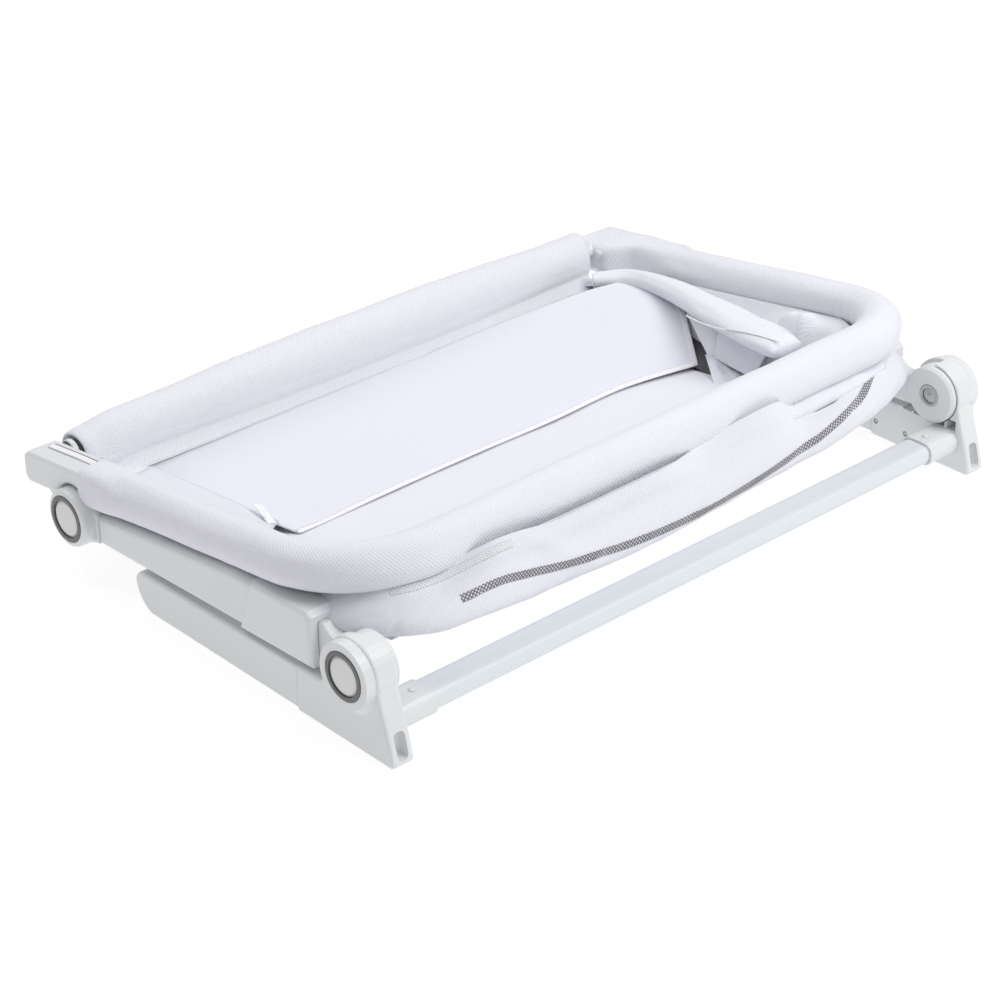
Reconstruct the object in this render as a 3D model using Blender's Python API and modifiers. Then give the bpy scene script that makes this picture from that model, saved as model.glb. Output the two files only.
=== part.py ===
"""Bedside bassinet on a folding stand, modelled in its folded rest pose.

Metres, +Z up, +X to the right end, -Y towards the crossbar. The origin is on the floor under the
middle of the object. "u" below is a distance outboard from the middle plane, so x = side * u.
"""
import math

import bmesh
import bpy
from mathutils import Matrix, Vector

SIDES = {"left": -1, "right": 1}
GAP = 0.0003                      # air between touching pieces

# Outboard planes, from the middle plane of the object
U_RING = 0.4754                   # face of the hub rings, the widest point
U_HUB_FACE = 0.4745
U_HUB_BACK = 0.4520               # inner face of an outboard hub half
U_CHEEK_OUT = 0.4505              # outer face of an inboard hub half
U_CHEEK_IN = 0.4275
U_FOOT_OUT, U_FOOT_IN = 0.4630, 0.4350
U_RAIL_OUT, U_RAIL_IN = 0.4605, 0.4385
U_SLEEVE_OUT, U_SLEEVE_IN = 0.4595, 0.4270
U_COLLAR_OUT, U_COLLAR_IN = 0.4620, 0.4245
U_TUBE_OUT, U_TUBE_IN = 0.4495, 0.4335
U_BRACKET_OUT, U_BRACKET_IN = 0.4630, 0.4200

# Hubs (y, z)
LOWER_HUB = (-0.2545, 0.0880)
UPPER_HUB = (0.2200, 0.0700)
LEG_TILT = math.atan2(UPPER_HUB[1] - LOWER_HUB[1], UPPER_HUB[0] - LOWER_HUB[0])
R_EAR = 0.0390                    # outboard half of the lower hub
R_KNUCKLE = 0.0350                # inboard half of the lower hub
R_HOUSING = 0.0340                # outboard half of the upper hub
R_CHEEK = 0.0310                  # inboard half of the upper hub
R_RING, R_RING_IN, R_BUTTON = 0.0275, 0.0222, 0.0218
R_AXLE, R_AXLE_HEAD, R_AXLE_NUT = 0.0050, 0.0100, 0.0075

# Feet and crossbar
FOOT_FRONT, CASING_REAR, FOOT_REAR = -0.3150, -0.1650, 0.1150
FOOT_TOP = 0.0540
BAR_Y, BAR_Z, BAR_W, BAR_H = -0.2740, 0.0360, 0.0400, 0.0230
BAR_END, SOCKET_END = 0.4340, 0.3870
RIVET_U = 0.4020
SCREWS = {"front": -0.2180, "rear": -0.1720}
SCREW_Z = 0.0200

# Legs, along the leg (s) from the lower hub and square to it (t)
SLEEVE_S0, SLEEVE_S1 = 0.1050, 0.4365
COLLAR_S0, COLLAR_S1 = 0.0660, 0.1860
SLEEVE_LOW, SLEEVE_HIGH, SLEEVE_TAIL = -0.0225, 0.0345, 0.0115
COLLAR_LOW, COLLAR_HIGH = -0.0255, 0.0385
TUBE_LOW, TUBE_HIGH = -0.0195, 0.0085
TUBE_S0, TUBE_S1 = 0.0600, 0.4000

# Basket rails
RAIL_U = 0.4380
RAIL_Y, RAIL_Z = 0.1950, 0.1080   # centre of an end run beside its bracket
RAIL_SLOPE = 0.1300               # rise per metre towards the front
RAIL_TWIST = 0.0100               # the right front corner sits this much higher
RAIL_FRONT, RAIL_CORNER = -0.2220, 0.1100
R_TUBE, TUBE_WALL, R_RAIL_COVER = 0.0115, 0.0012, 0.0220
COVER_START = 0.1583
BACK_Y, BACK_Z, R_BACK_COVER = 0.2885, 0.1060, 0.0305
BACK_COVER = (-0.4060, 0.3800)

# Tub and mattress
MATTRESS_X, MATTRESS_Y = 0.3600, (-0.2150, 0.1500)   # Y is measured from MATTRESS_AT
MATTRESS_AT = (0.0200, 0.0460)    # a point (y, z) on the mattress's top; it lies parallel to the rails
MATTRESS_T, BOARD_T, FLOOR_T = 0.0140, 0.0030, 0.0015

WHITE = (0.86, 0.88, 0.88, 1)
GREY = (0.09, 0.09, 0.10, 1)
STEEL = (0.60, 0.61, 0.62, 1)
FABRIC = (0.84, 0.84, 0.90, 1)


# ---------------------------------------------------------------- helpers

def clear_scene():
    for obj in list(bpy.data.objects):
        bpy.data.objects.remove(obj, do_unlink=True)


def new_collection(name, hidden=False):
    group = bpy.data.collections.new(name)
    bpy.context.scene.collection.children.link(group)
    group.hide_render = hidden
    return group


def material(name, colour, roughness, metallic=0.0):
    mat = bpy.data.materials.new(name)
    mat.use_nodes = True
    shader = mat.node_tree.nodes["Principled BSDF"]
    shader.inputs["Base Color"].default_value = colour
    shader.inputs["Roughness"].default_value = roughness
    shader.inputs["Metallic"].default_value = metallic
    mat.diffuse_color = colour
    return mat


def place(name, mesh, matrix, finish=None):
    """One object for one piece, or a hidden cutter where there is no finish."""
    obj = bpy.data.objects.new(name, mesh)
    obj.matrix_world = matrix
    if finish:
        colour, roughness, metallic = finish
        mesh.materials.append(material(name, colour, roughness, metallic))
        PARTS.objects.link(obj)
    else:
        CUTTERS.objects.link(obj)
        obj.hide_render = True
        obj.display_type = 'WIRE'
    return obj


def polish(obj, angle=35):
    obj.data.shade_smooth()
    obj.data.set_sharp_from_angle(angle=math.radians(angle))


def bevel(obj, width, segments=2, angle=40):
    mod = obj.modifiers.new("bevel", 'BEVEL')
    mod.width = width
    mod.segments = segments
    mod.limit_method = 'ANGLE'
    mod.angle_limit = math.radians(angle)
    mod.use_clamp_overlap = True
    return mod


def boolean(obj, other, operation='DIFFERENCE'):
    mod = obj.modifiers.new(operation.lower(), 'BOOLEAN')
    mod.object = other
    mod.operation = operation
    mod.solver = 'EXACT'
    return mod


def arc(cy, cz, radius, start, end, steps):
    """Points on an arc, angles in degrees."""
    angles = [math.radians(start + (end - start) * i / steps) for i in range(steps + 1)]
    return [(cy + radius * math.cos(a), cz + radius * math.sin(a)) for a in angles]


def rounded(low, high, radius, steps=4):
    """Outline of a rounded rectangle between two corners."""
    (x0, y0), (x1, y1) = low, high
    points = arc(x1 - radius, y0 + radius, radius, -90, 0, steps)
    points += arc(x1 - radius, y1 - radius, radius, 0, 90, steps)
    points += arc(x0 + radius, y1 - radius, radius, 90, 180, steps)
    return points + arc(x0 + radius, y0 + radius, radius, 180, 270, steps)


def extruded_mesh(name, outlines, thickness, rim=0.0, steps=1):
    """Flat outlines (the second one is a hole) in XY, thickened along Z, with rounded rims."""
    curve = bpy.data.curves.new(name, 'CURVE')
    curve.dimensions = '2D'
    curve.fill_mode = 'BOTH'
    curve.extrude = thickness / 2 - rim
    curve.bevel_depth = rim
    curve.bevel_resolution = steps
    curve.offset = -rim
    for outline in outlines:
        spline = curve.splines.new('POLY')
        spline.points.add(len(outline) - 1)
        for point, (x, y) in zip(spline.points, outline):
            point.co = (x, y, 0, 1)
        spline.use_cyclic_u = True
    guide = bpy.data.objects.new(name + "_curve", curve)
    bpy.context.scene.collection.objects.link(guide)
    mesh = mesh_of(guide, name)
    bpy.data.objects.remove(guide, do_unlink=True)
    return mesh


def mesh_of(guide, name):
    """The evaluated, welded mesh of a curve object."""
    depsgraph = bpy.context.evaluated_depsgraph_get()
    mesh = bpy.data.meshes.new_from_object(guide.evaluated_get(depsgraph))
    mesh.name = name
    bm = bmesh.new()
    bm.from_mesh(mesh)
    bmesh.ops.remove_doubles(bm, verts=bm.verts, dist=0.00002)
    bmesh.ops.recalc_face_normals(bm, faces=bm.faces)
    bm.to_mesh(mesh)
    bm.free()
    return mesh


SIDE_VIEW = Matrix(((0, 0, 1, 0), (1, 0, 0, 0), (0, 1, 0, 0), (0, 0, 0, 1)))


def in_leg():
    """The leg's own frame: origin on the lower hub, first axis along the leg."""
    hub = Matrix.Translation((0, *LOWER_HUB))
    return hub @ Matrix.Rotation(LEG_TILT, 4, 'X')


def side_plate(name, outline, u0, u1, side, finish=None, frame=Matrix(), rim=0.0, steps=1):
    """An outline seen from the side (y, z), thick from u0 to u1 outboard."""
    mesh = extruded_mesh(name, [outline], u1 - u0, rim, steps)
    middle = Matrix.Translation((side * (u0 + u1) / 2, 0, 0))
    return place(name, mesh, frame @ middle @ SIDE_VIEW, finish)


def leg_bar(name, corners, s0, s1, radius, side, finish=None, wall=0.0):
    """A bar along the leg from s0 to s1, with a section given in (u, t)."""
    (u0, t0), (u1, t1) = corners
    x0, x1 = sorted((side * u0, side * u1))
    outlines = [rounded((x0, t0), (x1, t1), radius, 2)]
    if wall:
        outlines.append(rounded((x0 + wall, t0 + wall), (x1 - wall, t1 - wall), radius - wall, 2))
    mesh = extruded_mesh(name, outlines, s1 - s0)
    upright = Matrix(((1, 0, 0, 0), (0, 0, -1, (s0 + s1) / 2), (0, 1, 0, 0), (0, 0, 0, 1)))
    return place(name, mesh, in_leg() @ upright, finish)


def lathe(name, profile, side, centre, finish=None, steps=32):
    """A turned piece on a sideways axis; profile is (radius, u) from the outboard end inwards."""
    mesh = bpy.data.meshes.new(name)
    u_ref = profile[0][1]
    verts = [(radius, 0, u - u_ref) for radius, u in profile]
    edges = [(i, i + 1) for i in range(len(verts) - 1)]
    if profile[0][0] > 0:
        edges.append((len(verts) - 1, 0))
    mesh.from_pydata(verts, edges, [])
    turn = Matrix.Rotation(side * math.pi / 2, 4, 'Y')
    obj = place(name, mesh, Matrix.Translation((side * u_ref, *centre)) @ turn, finish)
    screw = obj.modifiers.new("screw", 'SCREW')
    screw.steps = screw.render_steps = steps
    screw.use_merge_vertices = True
    screw.merge_threshold = 0.00001
    screw.use_smooth_shade = True
    return obj


def block(name, low, high, side, finish=None, frame=Matrix()):
    """A box from low to high, both as (u, y, z)."""
    bm = bmesh.new()
    bmesh.ops.create_cube(bm, size=1)
    size = [b - a for a, b in zip(low, high)]
    bmesh.ops.scale(bm, vec=size, verts=bm.verts)
    mesh = bpy.data.meshes.new(name)
    bm.to_mesh(mesh)
    bm.free()
    u, y, z = [(a + b) / 2 for a, b in zip(low, high)]
    return place(name, mesh, frame @ Matrix.Translation((side * u, y, z)), finish)


def tube(name, points, radius, finish, wall=None, resolution=3, shell=0.0):
    """A tube along points: hollow with a wall inwards, or a shell standing outwards."""
    curve = bpy.data.curves.new(name, 'CURVE')
    curve.dimensions = '3D'
    curve.bevel_depth = radius
    curve.bevel_resolution = resolution
    curve.use_fill_caps = False
    spline = curve.splines.new('POLY')
    spline.points.add(len(points) - 1)
    for point, co in zip(spline.points, points):
        point.co = (*co, 1)
    guide = bpy.data.objects.new(name + "_curve", curve)
    bpy.context.scene.collection.objects.link(guide)
    obj = place(name, mesh_of(guide, name), guide.matrix_world.copy(), finish)
    bpy.data.objects.remove(guide, do_unlink=True)
    solid = obj.modifiers.new("wall", 'SOLIDIFY')
    solid.thickness = shell or wall
    solid.offset = 1 if shell else -1
    solid.use_even_offset = True
    polish(obj)
    return obj


def lobed_boss(name, side, centre, radii, planes, lobe, reach, finish=None, steps=32):
    """A round boss that swells into one direction at its foot: a loft between unlike rings."""
    top, base = radii
    shares = (1.0, 0.34, 0.08, 0.0)
    heights = [planes[0] + (planes[1] - planes[0]) * k for k in (0.0, 0.30, 0.68, 1.0)]
    bm = bmesh.new()
    rings = []
    for share, u in zip(shares, heights):
        ring = []
        for i in range(steps):
            a = 2 * math.pi * i / steps
            swell = max(0.0, math.cos(a - math.radians(lobe))) ** 2
            radius = top + (base - top + reach * swell) * share
            ring.append(bm.verts.new((side * u, centre[0] + radius * math.cos(a),
                                      centre[1] + radius * math.sin(a))))
        rings.append(ring)
    for lower, upper in zip(rings, rings[1:]):
        for i in range(steps):
            j = (i + 1) % steps
            bm.faces.new((lower[i], lower[j], upper[j], upper[i]))
    bm.faces.new(rings[0])
    bm.faces.new(rings[-1])
    bmesh.ops.recalc_face_normals(bm, faces=bm.faces)
    mesh = bpy.data.meshes.new(name)
    bm.to_mesh(mesh)
    bm.free()
    return place(name, mesh, Matrix(), finish)


def attach(obj, pivot):
    obj.parent = pivot
    obj.matrix_parent_inverse = pivot.matrix_basis.inverted()


def empty(name, location):
    pivot = bpy.data.objects.new(name, None)
    pivot.location = location
    pivot.empty_display_size = 0.03
    PARTS.objects.link(pivot)
    return pivot


PLASTIC = (WHITE, 0.42, 0.0)
RING = (GREY, 0.35, 0.0)
METAL = (STEEL, 0.32, 1.0)
CLOTH = (FABRIC, 0.85, 0.0)


# ---------------------------------------------------------------- hubs

def hub_ring(name, side, centre):
    chamfer = 0.0007
    profile = [(R_RING_IN, U_RING), (R_RING - chamfer, U_RING), (R_RING, U_RING - chamfer),
               (R_RING, U_RING - 0.0034), (R_RING_IN, U_RING - 0.0034)]
    return lathe(name, profile, side, centre, RING)


def hub_button(name, side, centre):
    """A domed cap with a hollow skirt, which slides inboard when it is pressed."""
    face = U_RING - 0.0006
    profile = [(0, face), (0.0190, face - 0.0005), (R_BUTTON, face - 0.0020), (R_BUTTON, 0.4640),
               (0.0196, 0.4640), (0.0196, face - 0.0030), (0, face - 0.0030)]
    return lathe(name, profile, side, centre, PLASTIC)


def hub_axle(name, side, centre):
    """The hub's riveted pin: a round head inboard, a flange outboard of the hub's web."""
    head = U_CHEEK_IN + 0.0008
    profile = [(0, 0.4612), (R_AXLE_NUT, 0.4608), (R_AXLE_NUT, 0.4576), (R_AXLE, 0.4576),
               (R_AXLE, head + 0.0030), (R_AXLE_HEAD, head + 0.0030), (R_AXLE_HEAD, head + 0.0004),
               (0.0036, head), (0, head - 0.0012)]
    return lathe(name, profile, side, centre, METAL, steps=20)


def hub_spring(name, side, centre):
    """The button's return spring, seated on the hub's web inside the button's skirt."""
    turns, per_turn, radius = 2, 8, 0.0130
    points = []
    for i in range(int(turns * per_turn) + 1):
        a = 2 * math.pi * i / per_turn
        u = 0.4585 + 0.0085 * i / (turns * per_turn)
        points.append((side * u, centre[0] + radius * math.cos(a), centre[1] + radius * math.sin(a)))
    curve = bpy.data.curves.new(name, 'CURVE')
    curve.dimensions = '3D'
    curve.bevel_depth = 0.0006
    curve.bevel_resolution = 1
    curve.use_fill_caps = True
    spline = curve.splines.new('POLY')
    spline.points.add(len(points) - 1)
    for point, co in zip(spline.points, points):
        point.co = (*co, 1)
    obj = bpy.data.objects.new(name, curve)
    curve.materials.append(material(name, STEEL, 0.3, 1.0))
    PARTS.objects.link(obj)
    return obj


def outboard_half(obj, side, centre, room_radius, room_plane):
    """Turn out an outboard half: ring seat, button well, pin bore, then room for the inboard half."""
    seat, well, bore = R_RING + GAP, R_BUTTON + GAP, R_AXLE + GAP
    profile = [(0, 0.4800), (seat, 0.4800), (seat, U_RING - 0.0037), (well, U_RING - 0.0037),
               (well, 0.4572), (bore, 0.4572), (bore, room_plane), (room_radius, room_plane),
               (room_radius, 0.4180), (0, 0.4180)]
    boolean(obj, lathe(obj.name + "_turning", profile, side, centre))


def inboard_half(obj, side, centre):
    """Bore an inboard half for the pin and counterbore it for the pin's head."""
    head, bore, depth = R_AXLE_HEAD + GAP, R_AXLE + GAP, U_CHEEK_IN + 0.0042
    profile = [(0, 0.4600), (bore, 0.4600), (bore, depth), (head, depth), (head, 0.4180), (0, 0.4180)]
    boolean(obj, lathe(obj.name + "_turning", profile, side, centre, steps=20))


def hub_pieces(prefix, side, centre, outer_pivot, inner_pivot):
    attach(hub_ring(prefix + "_ring", side, centre), outer_pivot)
    button_pivot = empty(prefix + "_button_pivot", (side * U_RING, *centre))
    attach(hub_button(prefix + "_button", side, centre), button_pivot)
    attach(hub_axle(prefix + "_axle", side, centre), inner_pivot)
    attach(hub_spring(prefix + "_spring", side, centre), outer_pivot)


# ---------------------------------------------------------------- feet

def casing_outline():
    y, z = LOWER_HUB
    points = [(CASING_REAR, 0.0), (CASING_REAR, FOOT_TOP), (-0.2020, FOOT_TOP + 0.0010),
              (-0.2120, 0.0600)]
    points += arc(y, z, R_EAR, -20, 190, 20)
    points += [(-0.2985, 0.0610), (-0.3060, 0.0400), (-0.3120, 0.0200), (FOOT_FRONT, 0.0060)]
    return points + arc(FOOT_FRONT + 0.0045, 0.0045, 0.0045, 200, 270, 2)


def foot_casing(name, side):
    y, z = LOWER_HUB
    casing = side_plate(name, casing_outline(), U_FOOT_IN, U_FOOT_OUT, side, PLASTIC, rim=0.0030)
    boss = lobed_boss(name + "_boss", side, LOWER_HUB, (0.0362, R_EAR - 0.0004),
                      (U_FOOT_OUT - 0.0040, U_HUB_FACE), -92, 0.0230)
    boolean(casing, boss, 'UNION')
    socket_low = (BAR_Y - BAR_W / 2 - 0.0028, BAR_Z - BAR_H / 2 - 0.0026)
    socket_high = (BAR_Y + BAR_W / 2 + 0.0028, BAR_Z + BAR_H / 2 + 0.0026)
    socket = side_plate(name + "_socket", rounded(socket_low, socket_high, 0.0120),
                        SOCKET_END, U_FOOT_IN + 0.004, side)
    boolean(casing, socket, 'UNION')
    outboard_half(casing, side, LOWER_HUB, R_KNUCKLE + 0.0014, U_HUB_BACK - 0.0006)
    neck_room = block(name + "_neck_room", (0.4200, -0.2545, FOOT_TOP + 0.0006),
                      (U_HUB_BACK - 0.0006, -0.1500, 0.1400), side)
    boolean(casing, neck_room)
    slot = block(name + "_slot", (0.4420, FOOT_FRONT - 0.004, 0.0070),
                 (0.4560, FOOT_FRONT + 0.0140, 0.0370), side)
    bevel(slot, 0.0045, 2, 60)
    boolean(casing, slot)
    inner_low = (BAR_Y - BAR_W / 2 - GAP, BAR_Z - BAR_H / 2 - GAP)
    inner_high = (BAR_Y + BAR_W / 2 + GAP, BAR_Z + BAR_H / 2 + GAP)
    bar_room = side_plate(name + "_bar_room", rounded(inner_low, inner_high, 0.0100),
                          SOCKET_END - 0.01, BAR_END + GAP, side)
    boolean(casing, bar_room)
    for i in range(5):
        rear = -0.2120 - 0.0165 * i
        pocket = block(f"{name}_pocket_{i}", (U_FOOT_IN - 0.004, rear - 0.0135, 0.0525 - 0.0004 * i),
                       (0.4540, rear, 0.0640), side)
        boolean(casing, pocket)
    for tag, screw_y in SCREWS.items():
        hole = lathe(f"{name}_{tag}_hole", [(0, 0.4480), (0.0016, 0.4480), (0.0016, 0.4380),
                                            (0.0034, 0.4380), (0.0034, 0.4300), (0, 0.4300)],
                     side, (screw_y, SCREW_Z), steps=12)
        boolean(casing, hole)
    rivet_hole = upright_pin(name + "_rivet_hole", side, 0.0023, 0.0400, 0.0600)
    boolean(casing, rivet_hole)
    return casing


def upright_pin(name, side, radius, z0, z1):
    bm = bmesh.new()
    bmesh.ops.create_cone(bm, cap_ends=True, segments=12, radius1=radius, radius2=radius,
                          depth=z1 - z0)
    mesh = bpy.data.meshes.new(name)
    bm.to_mesh(mesh)
    bm.free()
    return place(name, mesh, Matrix.Translation((side * RIVET_U, BAR_Y, (z0 + z1) / 2)))


def foot_rail(name, side):
    front = CASING_REAR + GAP
    low, nose, tail = 0.0005, 0.0400, 0.0120
    points = [(front, low)]
    points += arc(FOOT_REAR - nose, low + nose * 0.92, nose, -90, -8, 8)[1:]
    points += arc(FOOT_REAR - tail, 0.0340, tail, 10, 90, 4)
    points += [(front, 0.0515)]
    points = [(y, max(z, low)) for y, z in points]
    return side_plate(name, points, U_RAIL_IN, U_RAIL_OUT, side, PLASTIC, rim=0.0030)


def foot_screw(name, side, screw_y):
    profile = [(0, 0.4470), (0.0013, 0.4470), (0.0013, 0.4377), (0.0030, 0.4377), (0.0030, 0.4362),
               (0.0022, 0.4354), (0, 0.4352)]
    return lathe(name, profile, side, (screw_y, SCREW_Z), METAL, steps=12)


def crossbar(name):
    low = (BAR_Y - BAR_W / 2, BAR_Z - BAR_H / 2)
    high = (BAR_Y + BAR_W / 2, BAR_Z + BAR_H / 2)
    wall = 0.0016
    hole = rounded((low[0] + wall, low[1] + wall), (high[0] - wall, high[1] - wall), 0.0084)
    mesh = extruded_mesh(name, [rounded(low, high, 0.0100), hole], 2 * BAR_END)
    bar = place(name, mesh, SIDE_VIEW, (WHITE, 0.38, 0.0))
    for tag, side in SIDES.items():
        boolean(bar, upright_pin(f"{name}_{tag}_hole", side, 0.0023, 0.0400, 0.0600))
    return bar


def crossbar_rivet(name, side):
    top = BAR_Z + BAR_H / 2 + 0.0026
    profile = [(0, 0.0021), (0.0022, 0.0018), (0.0040, 0.0006), (0.0040, 0.0003), (0.0019, 0.0003),
               (0.0019, -0.0075), (0, -0.0075)]
    mesh = bpy.data.meshes.new(name)
    mesh.from_pydata([(r, 0, h) for r, h in profile], [(i, i + 1) for i in range(len(profile) - 1)], [])
    rivet = place(name, mesh, Matrix.Translation((side * RIVET_U, BAR_Y, top)), METAL)
    screw = rivet.modifiers.new("screw", 'SCREW')
    screw.steps = screw.render_steps = 16
    screw.use_merge_vertices = True
    screw.merge_threshold = 0.00001
    screw.use_smooth_shade = True
    return rivet


# ---------------------------------------------------------------- legs

def leg_knuckle(name, side):
    """The inboard half of the lower hub with the neck that carries the inner tube."""
    disc = lathe(name, [(0, U_CHEEK_OUT), (R_KNUCKLE - 0.001, U_CHEEK_OUT),
                        (R_KNUCKLE, U_CHEEK_OUT - 0.001), (R_KNUCKLE, U_CHEEK_IN + 0.003),
                        (R_KNUCKLE - 0.003, U_CHEEK_IN), (0, U_CHEEK_IN)],
                 side, LOWER_HUB, PLASTIC)
    outline = [(0.0, -0.0190), (0.0300, -0.0215), (0.0840, -0.0215), (0.0840, 0.0255), (0.0600, 0.0255)]
    outline += [(0.0560, 0.0215), (0.0500, 0.0170), (0.0430, 0.0150), (0.0340, 0.0160), (0.0, 0.0200)]
    neck = side_plate(name + "_neck", outline, U_CHEEK_IN + 0.0020, U_CHEEK_OUT - 0.0002, side, None,
                      in_leg(), rim=0.0030)
    boolean(disc, neck, 'UNION')
    room = leg_bar(name + "_room", ((U_TUBE_IN - GAP, TUBE_LOW - GAP), (U_TUBE_OUT + GAP, TUBE_HIGH + GAP)),
                   TUBE_S0 - GAP, 0.1000, 0.0050, side)
    boolean(disc, room)
    inboard_half(disc, side, LOWER_HUB)
    return disc


def inner_tube(name, side):
    return leg_bar(name, ((U_TUBE_IN, TUBE_LOW), (U_TUBE_OUT, TUBE_HIGH)), TUBE_S0, TUBE_S1, 0.0050,
                   side, METAL, wall=0.0014)


def leg_sleeve(name, side):
    outline = [(SLEEVE_S0, SLEEVE_LOW), (SLEEVE_S1, SLEEVE_LOW), (SLEEVE_S1, SLEEVE_TAIL),
               (0.2000, SLEEVE_HIGH), (SLEEVE_S0, SLEEVE_HIGH)]
    sleeve = side_plate(name, outline, U_SLEEVE_IN, U_SLEEVE_OUT, side, PLASTIC, in_leg(), 0.0060, 2)
    room = leg_bar(name + "_room", ((U_TUBE_IN - 0.0004, TUBE_LOW - 0.0004),
                                    (U_TUBE_OUT + 0.0004, TUBE_HIGH + 0.0004)), 0.0900, 0.4500,
                   0.0050, side)
    boolean(sleeve, room)
    return sleeve


def height_collar(name, side):
    """The lock housing round the sleeve's front end, with its mouth over the knuckle's neck."""
    outline = [(COLLAR_S0, COLLAR_LOW), (COLLAR_S1, COLLAR_LOW), (COLLAR_S1 - 0.0240, COLLAR_HIGH),
               (COLLAR_S0 + 0.0060, COLLAR_HIGH), (COLLAR_S0, COLLAR_HIGH - 0.0060)]
    collar = side_plate(name, outline, U_COLLAR_IN, U_COLLAR_OUT, side, PLASTIC, in_leg(), 0.0055, 2)
    mouth = leg_bar(name + "_mouth", ((U_CHEEK_IN + 0.0014, -0.0221), (U_CHEEK_OUT + 0.0006, 0.0261)),
                    COLLAR_S0 - 0.01, SLEEVE_S0 - 0.01, 0.0030, side)
    boolean(collar, mouth)
    rear = leg_bar(name + "_rear", ((U_SLEEVE_IN - GAP, SLEEVE_LOW - GAP),
                                    (U_SLEEVE_OUT + GAP, SLEEVE_HIGH + GAP)),
                   SLEEVE_S0 - GAP, 0.2200, 0.0050, side)
    boolean(collar, rear)
    throat = leg_bar(name + "_throat", ((U_TUBE_IN - 0.0010, TUBE_LOW - 0.0008),
                                        (U_TUBE_OUT + 0.0010, TUBE_HIGH + 0.0010)),
                     0.0800, 0.1200, 0.0050, side)
    boolean(collar, throat)
    track = block(name + "_track", (0.4150, 0.0740, -0.0062), (U_COLLAR_IN + 0.0012, 0.1180, 0.0102),
                  side, None, in_leg())
    boolean(collar, track)
    return collar


def height_lever(name, side):
    """The release tab: a ridged slider in the collar's inboard track."""
    frame = in_leg()
    face = U_COLLAR_IN + 0.0009
    lever = block(name, (face - 0.0065, 0.0745, -0.0057), (face, 0.1110, 0.0097), side, PLASTIC, frame)
    bevel(lever, 0.0012, 2)
    for i in range(4):
        s = 0.0790 + 0.0065 * i
        low, high = (face - 0.0100, s, -0.0100), (face - 0.0052, s + 0.0028, 0.0140)
        groove = block(f"{name}_groove_{i}", low, high, side, None, frame)
        boolean(lever, groove)
    return lever


def upper_housing(name, side):
    """The outboard half of the upper hub, closing the rear end of the sleeve."""
    disc = lathe(name, [(0, U_HUB_FACE), (0.0295, U_HUB_FACE), (0.0325, U_HUB_FACE - 0.0012),
                        (R_HOUSING, U_HUB_FACE - 0.0040), (R_HOUSING, U_HUB_BACK + 0.0006),
                        (R_HOUSING - 0.0006, U_HUB_BACK), (0, U_HUB_BACK)],
                 side, UPPER_HUB, PLASTIC)
    s0 = SLEEVE_S1 + GAP
    outline = [(s0, SLEEVE_LOW), (0.4560, -0.0272), (0.4748, -0.0290), (0.4748, 0.0290),
               (0.4560, 0.0262), (s0, SLEEVE_TAIL)]
    neck = side_plate(name + "_neck", outline, U_HUB_BACK - 0.002, U_SLEEVE_OUT, side, None, in_leg(),
                      rim=0.0020)
    boolean(disc, neck, 'UNION')
    fairing_outline = [(0.4420, -0.0180), (0.4600, -0.0255), (0.4748, -0.0290), (0.4748, 0.0290),
                       (0.4600, 0.0225), (0.4420, 0.0080)]
    fairing = side_plate(name + "_fairing", fairing_outline, U_HUB_BACK + 0.001, 0.4665, side, None,
                         in_leg(), rim=0.0060, steps=2)
    boolean(disc, fairing, 'UNION')
    plug_outline = [(s0, SLEEVE_LOW), (0.4425, SLEEVE_LOW - 0.0012), (0.4425, SLEEVE_TAIL + 0.0030),
                    (s0, SLEEVE_TAIL)]
    plug = side_plate(name + "_plug", plug_outline, U_SLEEVE_IN, U_SLEEVE_OUT - 0.001, side, None, in_leg(),
                      rim=0.0012)
    boolean(disc, plug, 'UNION')
    spigot = leg_bar(name + "_spigot", ((U_TUBE_IN + 0.0002, TUBE_LOW + 0.0002),
                                        (U_TUBE_OUT - 0.0002, TUBE_HIGH - 0.0002)),
                     0.4100, 0.4400, 0.0045, side)
    boolean(disc, spigot, 'UNION')
    outboard_half(disc, side, UPPER_HUB, R_CHEEK + 0.0012, U_HUB_BACK)
    return disc


# ---------------------------------------------------------------- basket

def rail_height(x, y):
    """Centre height of the U-rail; it rises to the front and, with the twist, to the right."""
    forward = RAIL_Y - y
    return RAIL_Z + RAIL_SLOPE * forward + RAIL_TWIST * (x / RAIL_U + 1) / 2 * forward / 0.4


def rail_path(start_y):
    """The U-rail's centreline, from the left bracket round the front to the right one."""
    corner_y = RAIL_FRONT + RAIL_CORNER
    corner_x = RAIL_U - RAIL_CORNER
    plan = [(-RAIL_U, start_y), (-RAIL_U, 0.0600), (-RAIL_U, -0.0400)]
    plan += arc(-corner_x, corner_y, RAIL_CORNER, 180, 270, 8)
    plan += [(-0.1500, RAIL_FRONT), (0.0, RAIL_FRONT), (0.1500, RAIL_FRONT)]
    plan += arc(corner_x, corner_y, RAIL_CORNER, 270, 360, 8)
    plan += [(RAIL_U, -0.0400), (RAIL_U, 0.0600), (RAIL_U, start_y)]
    return [(x, y, rail_height(x, y)) for x, y in plan]


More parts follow.
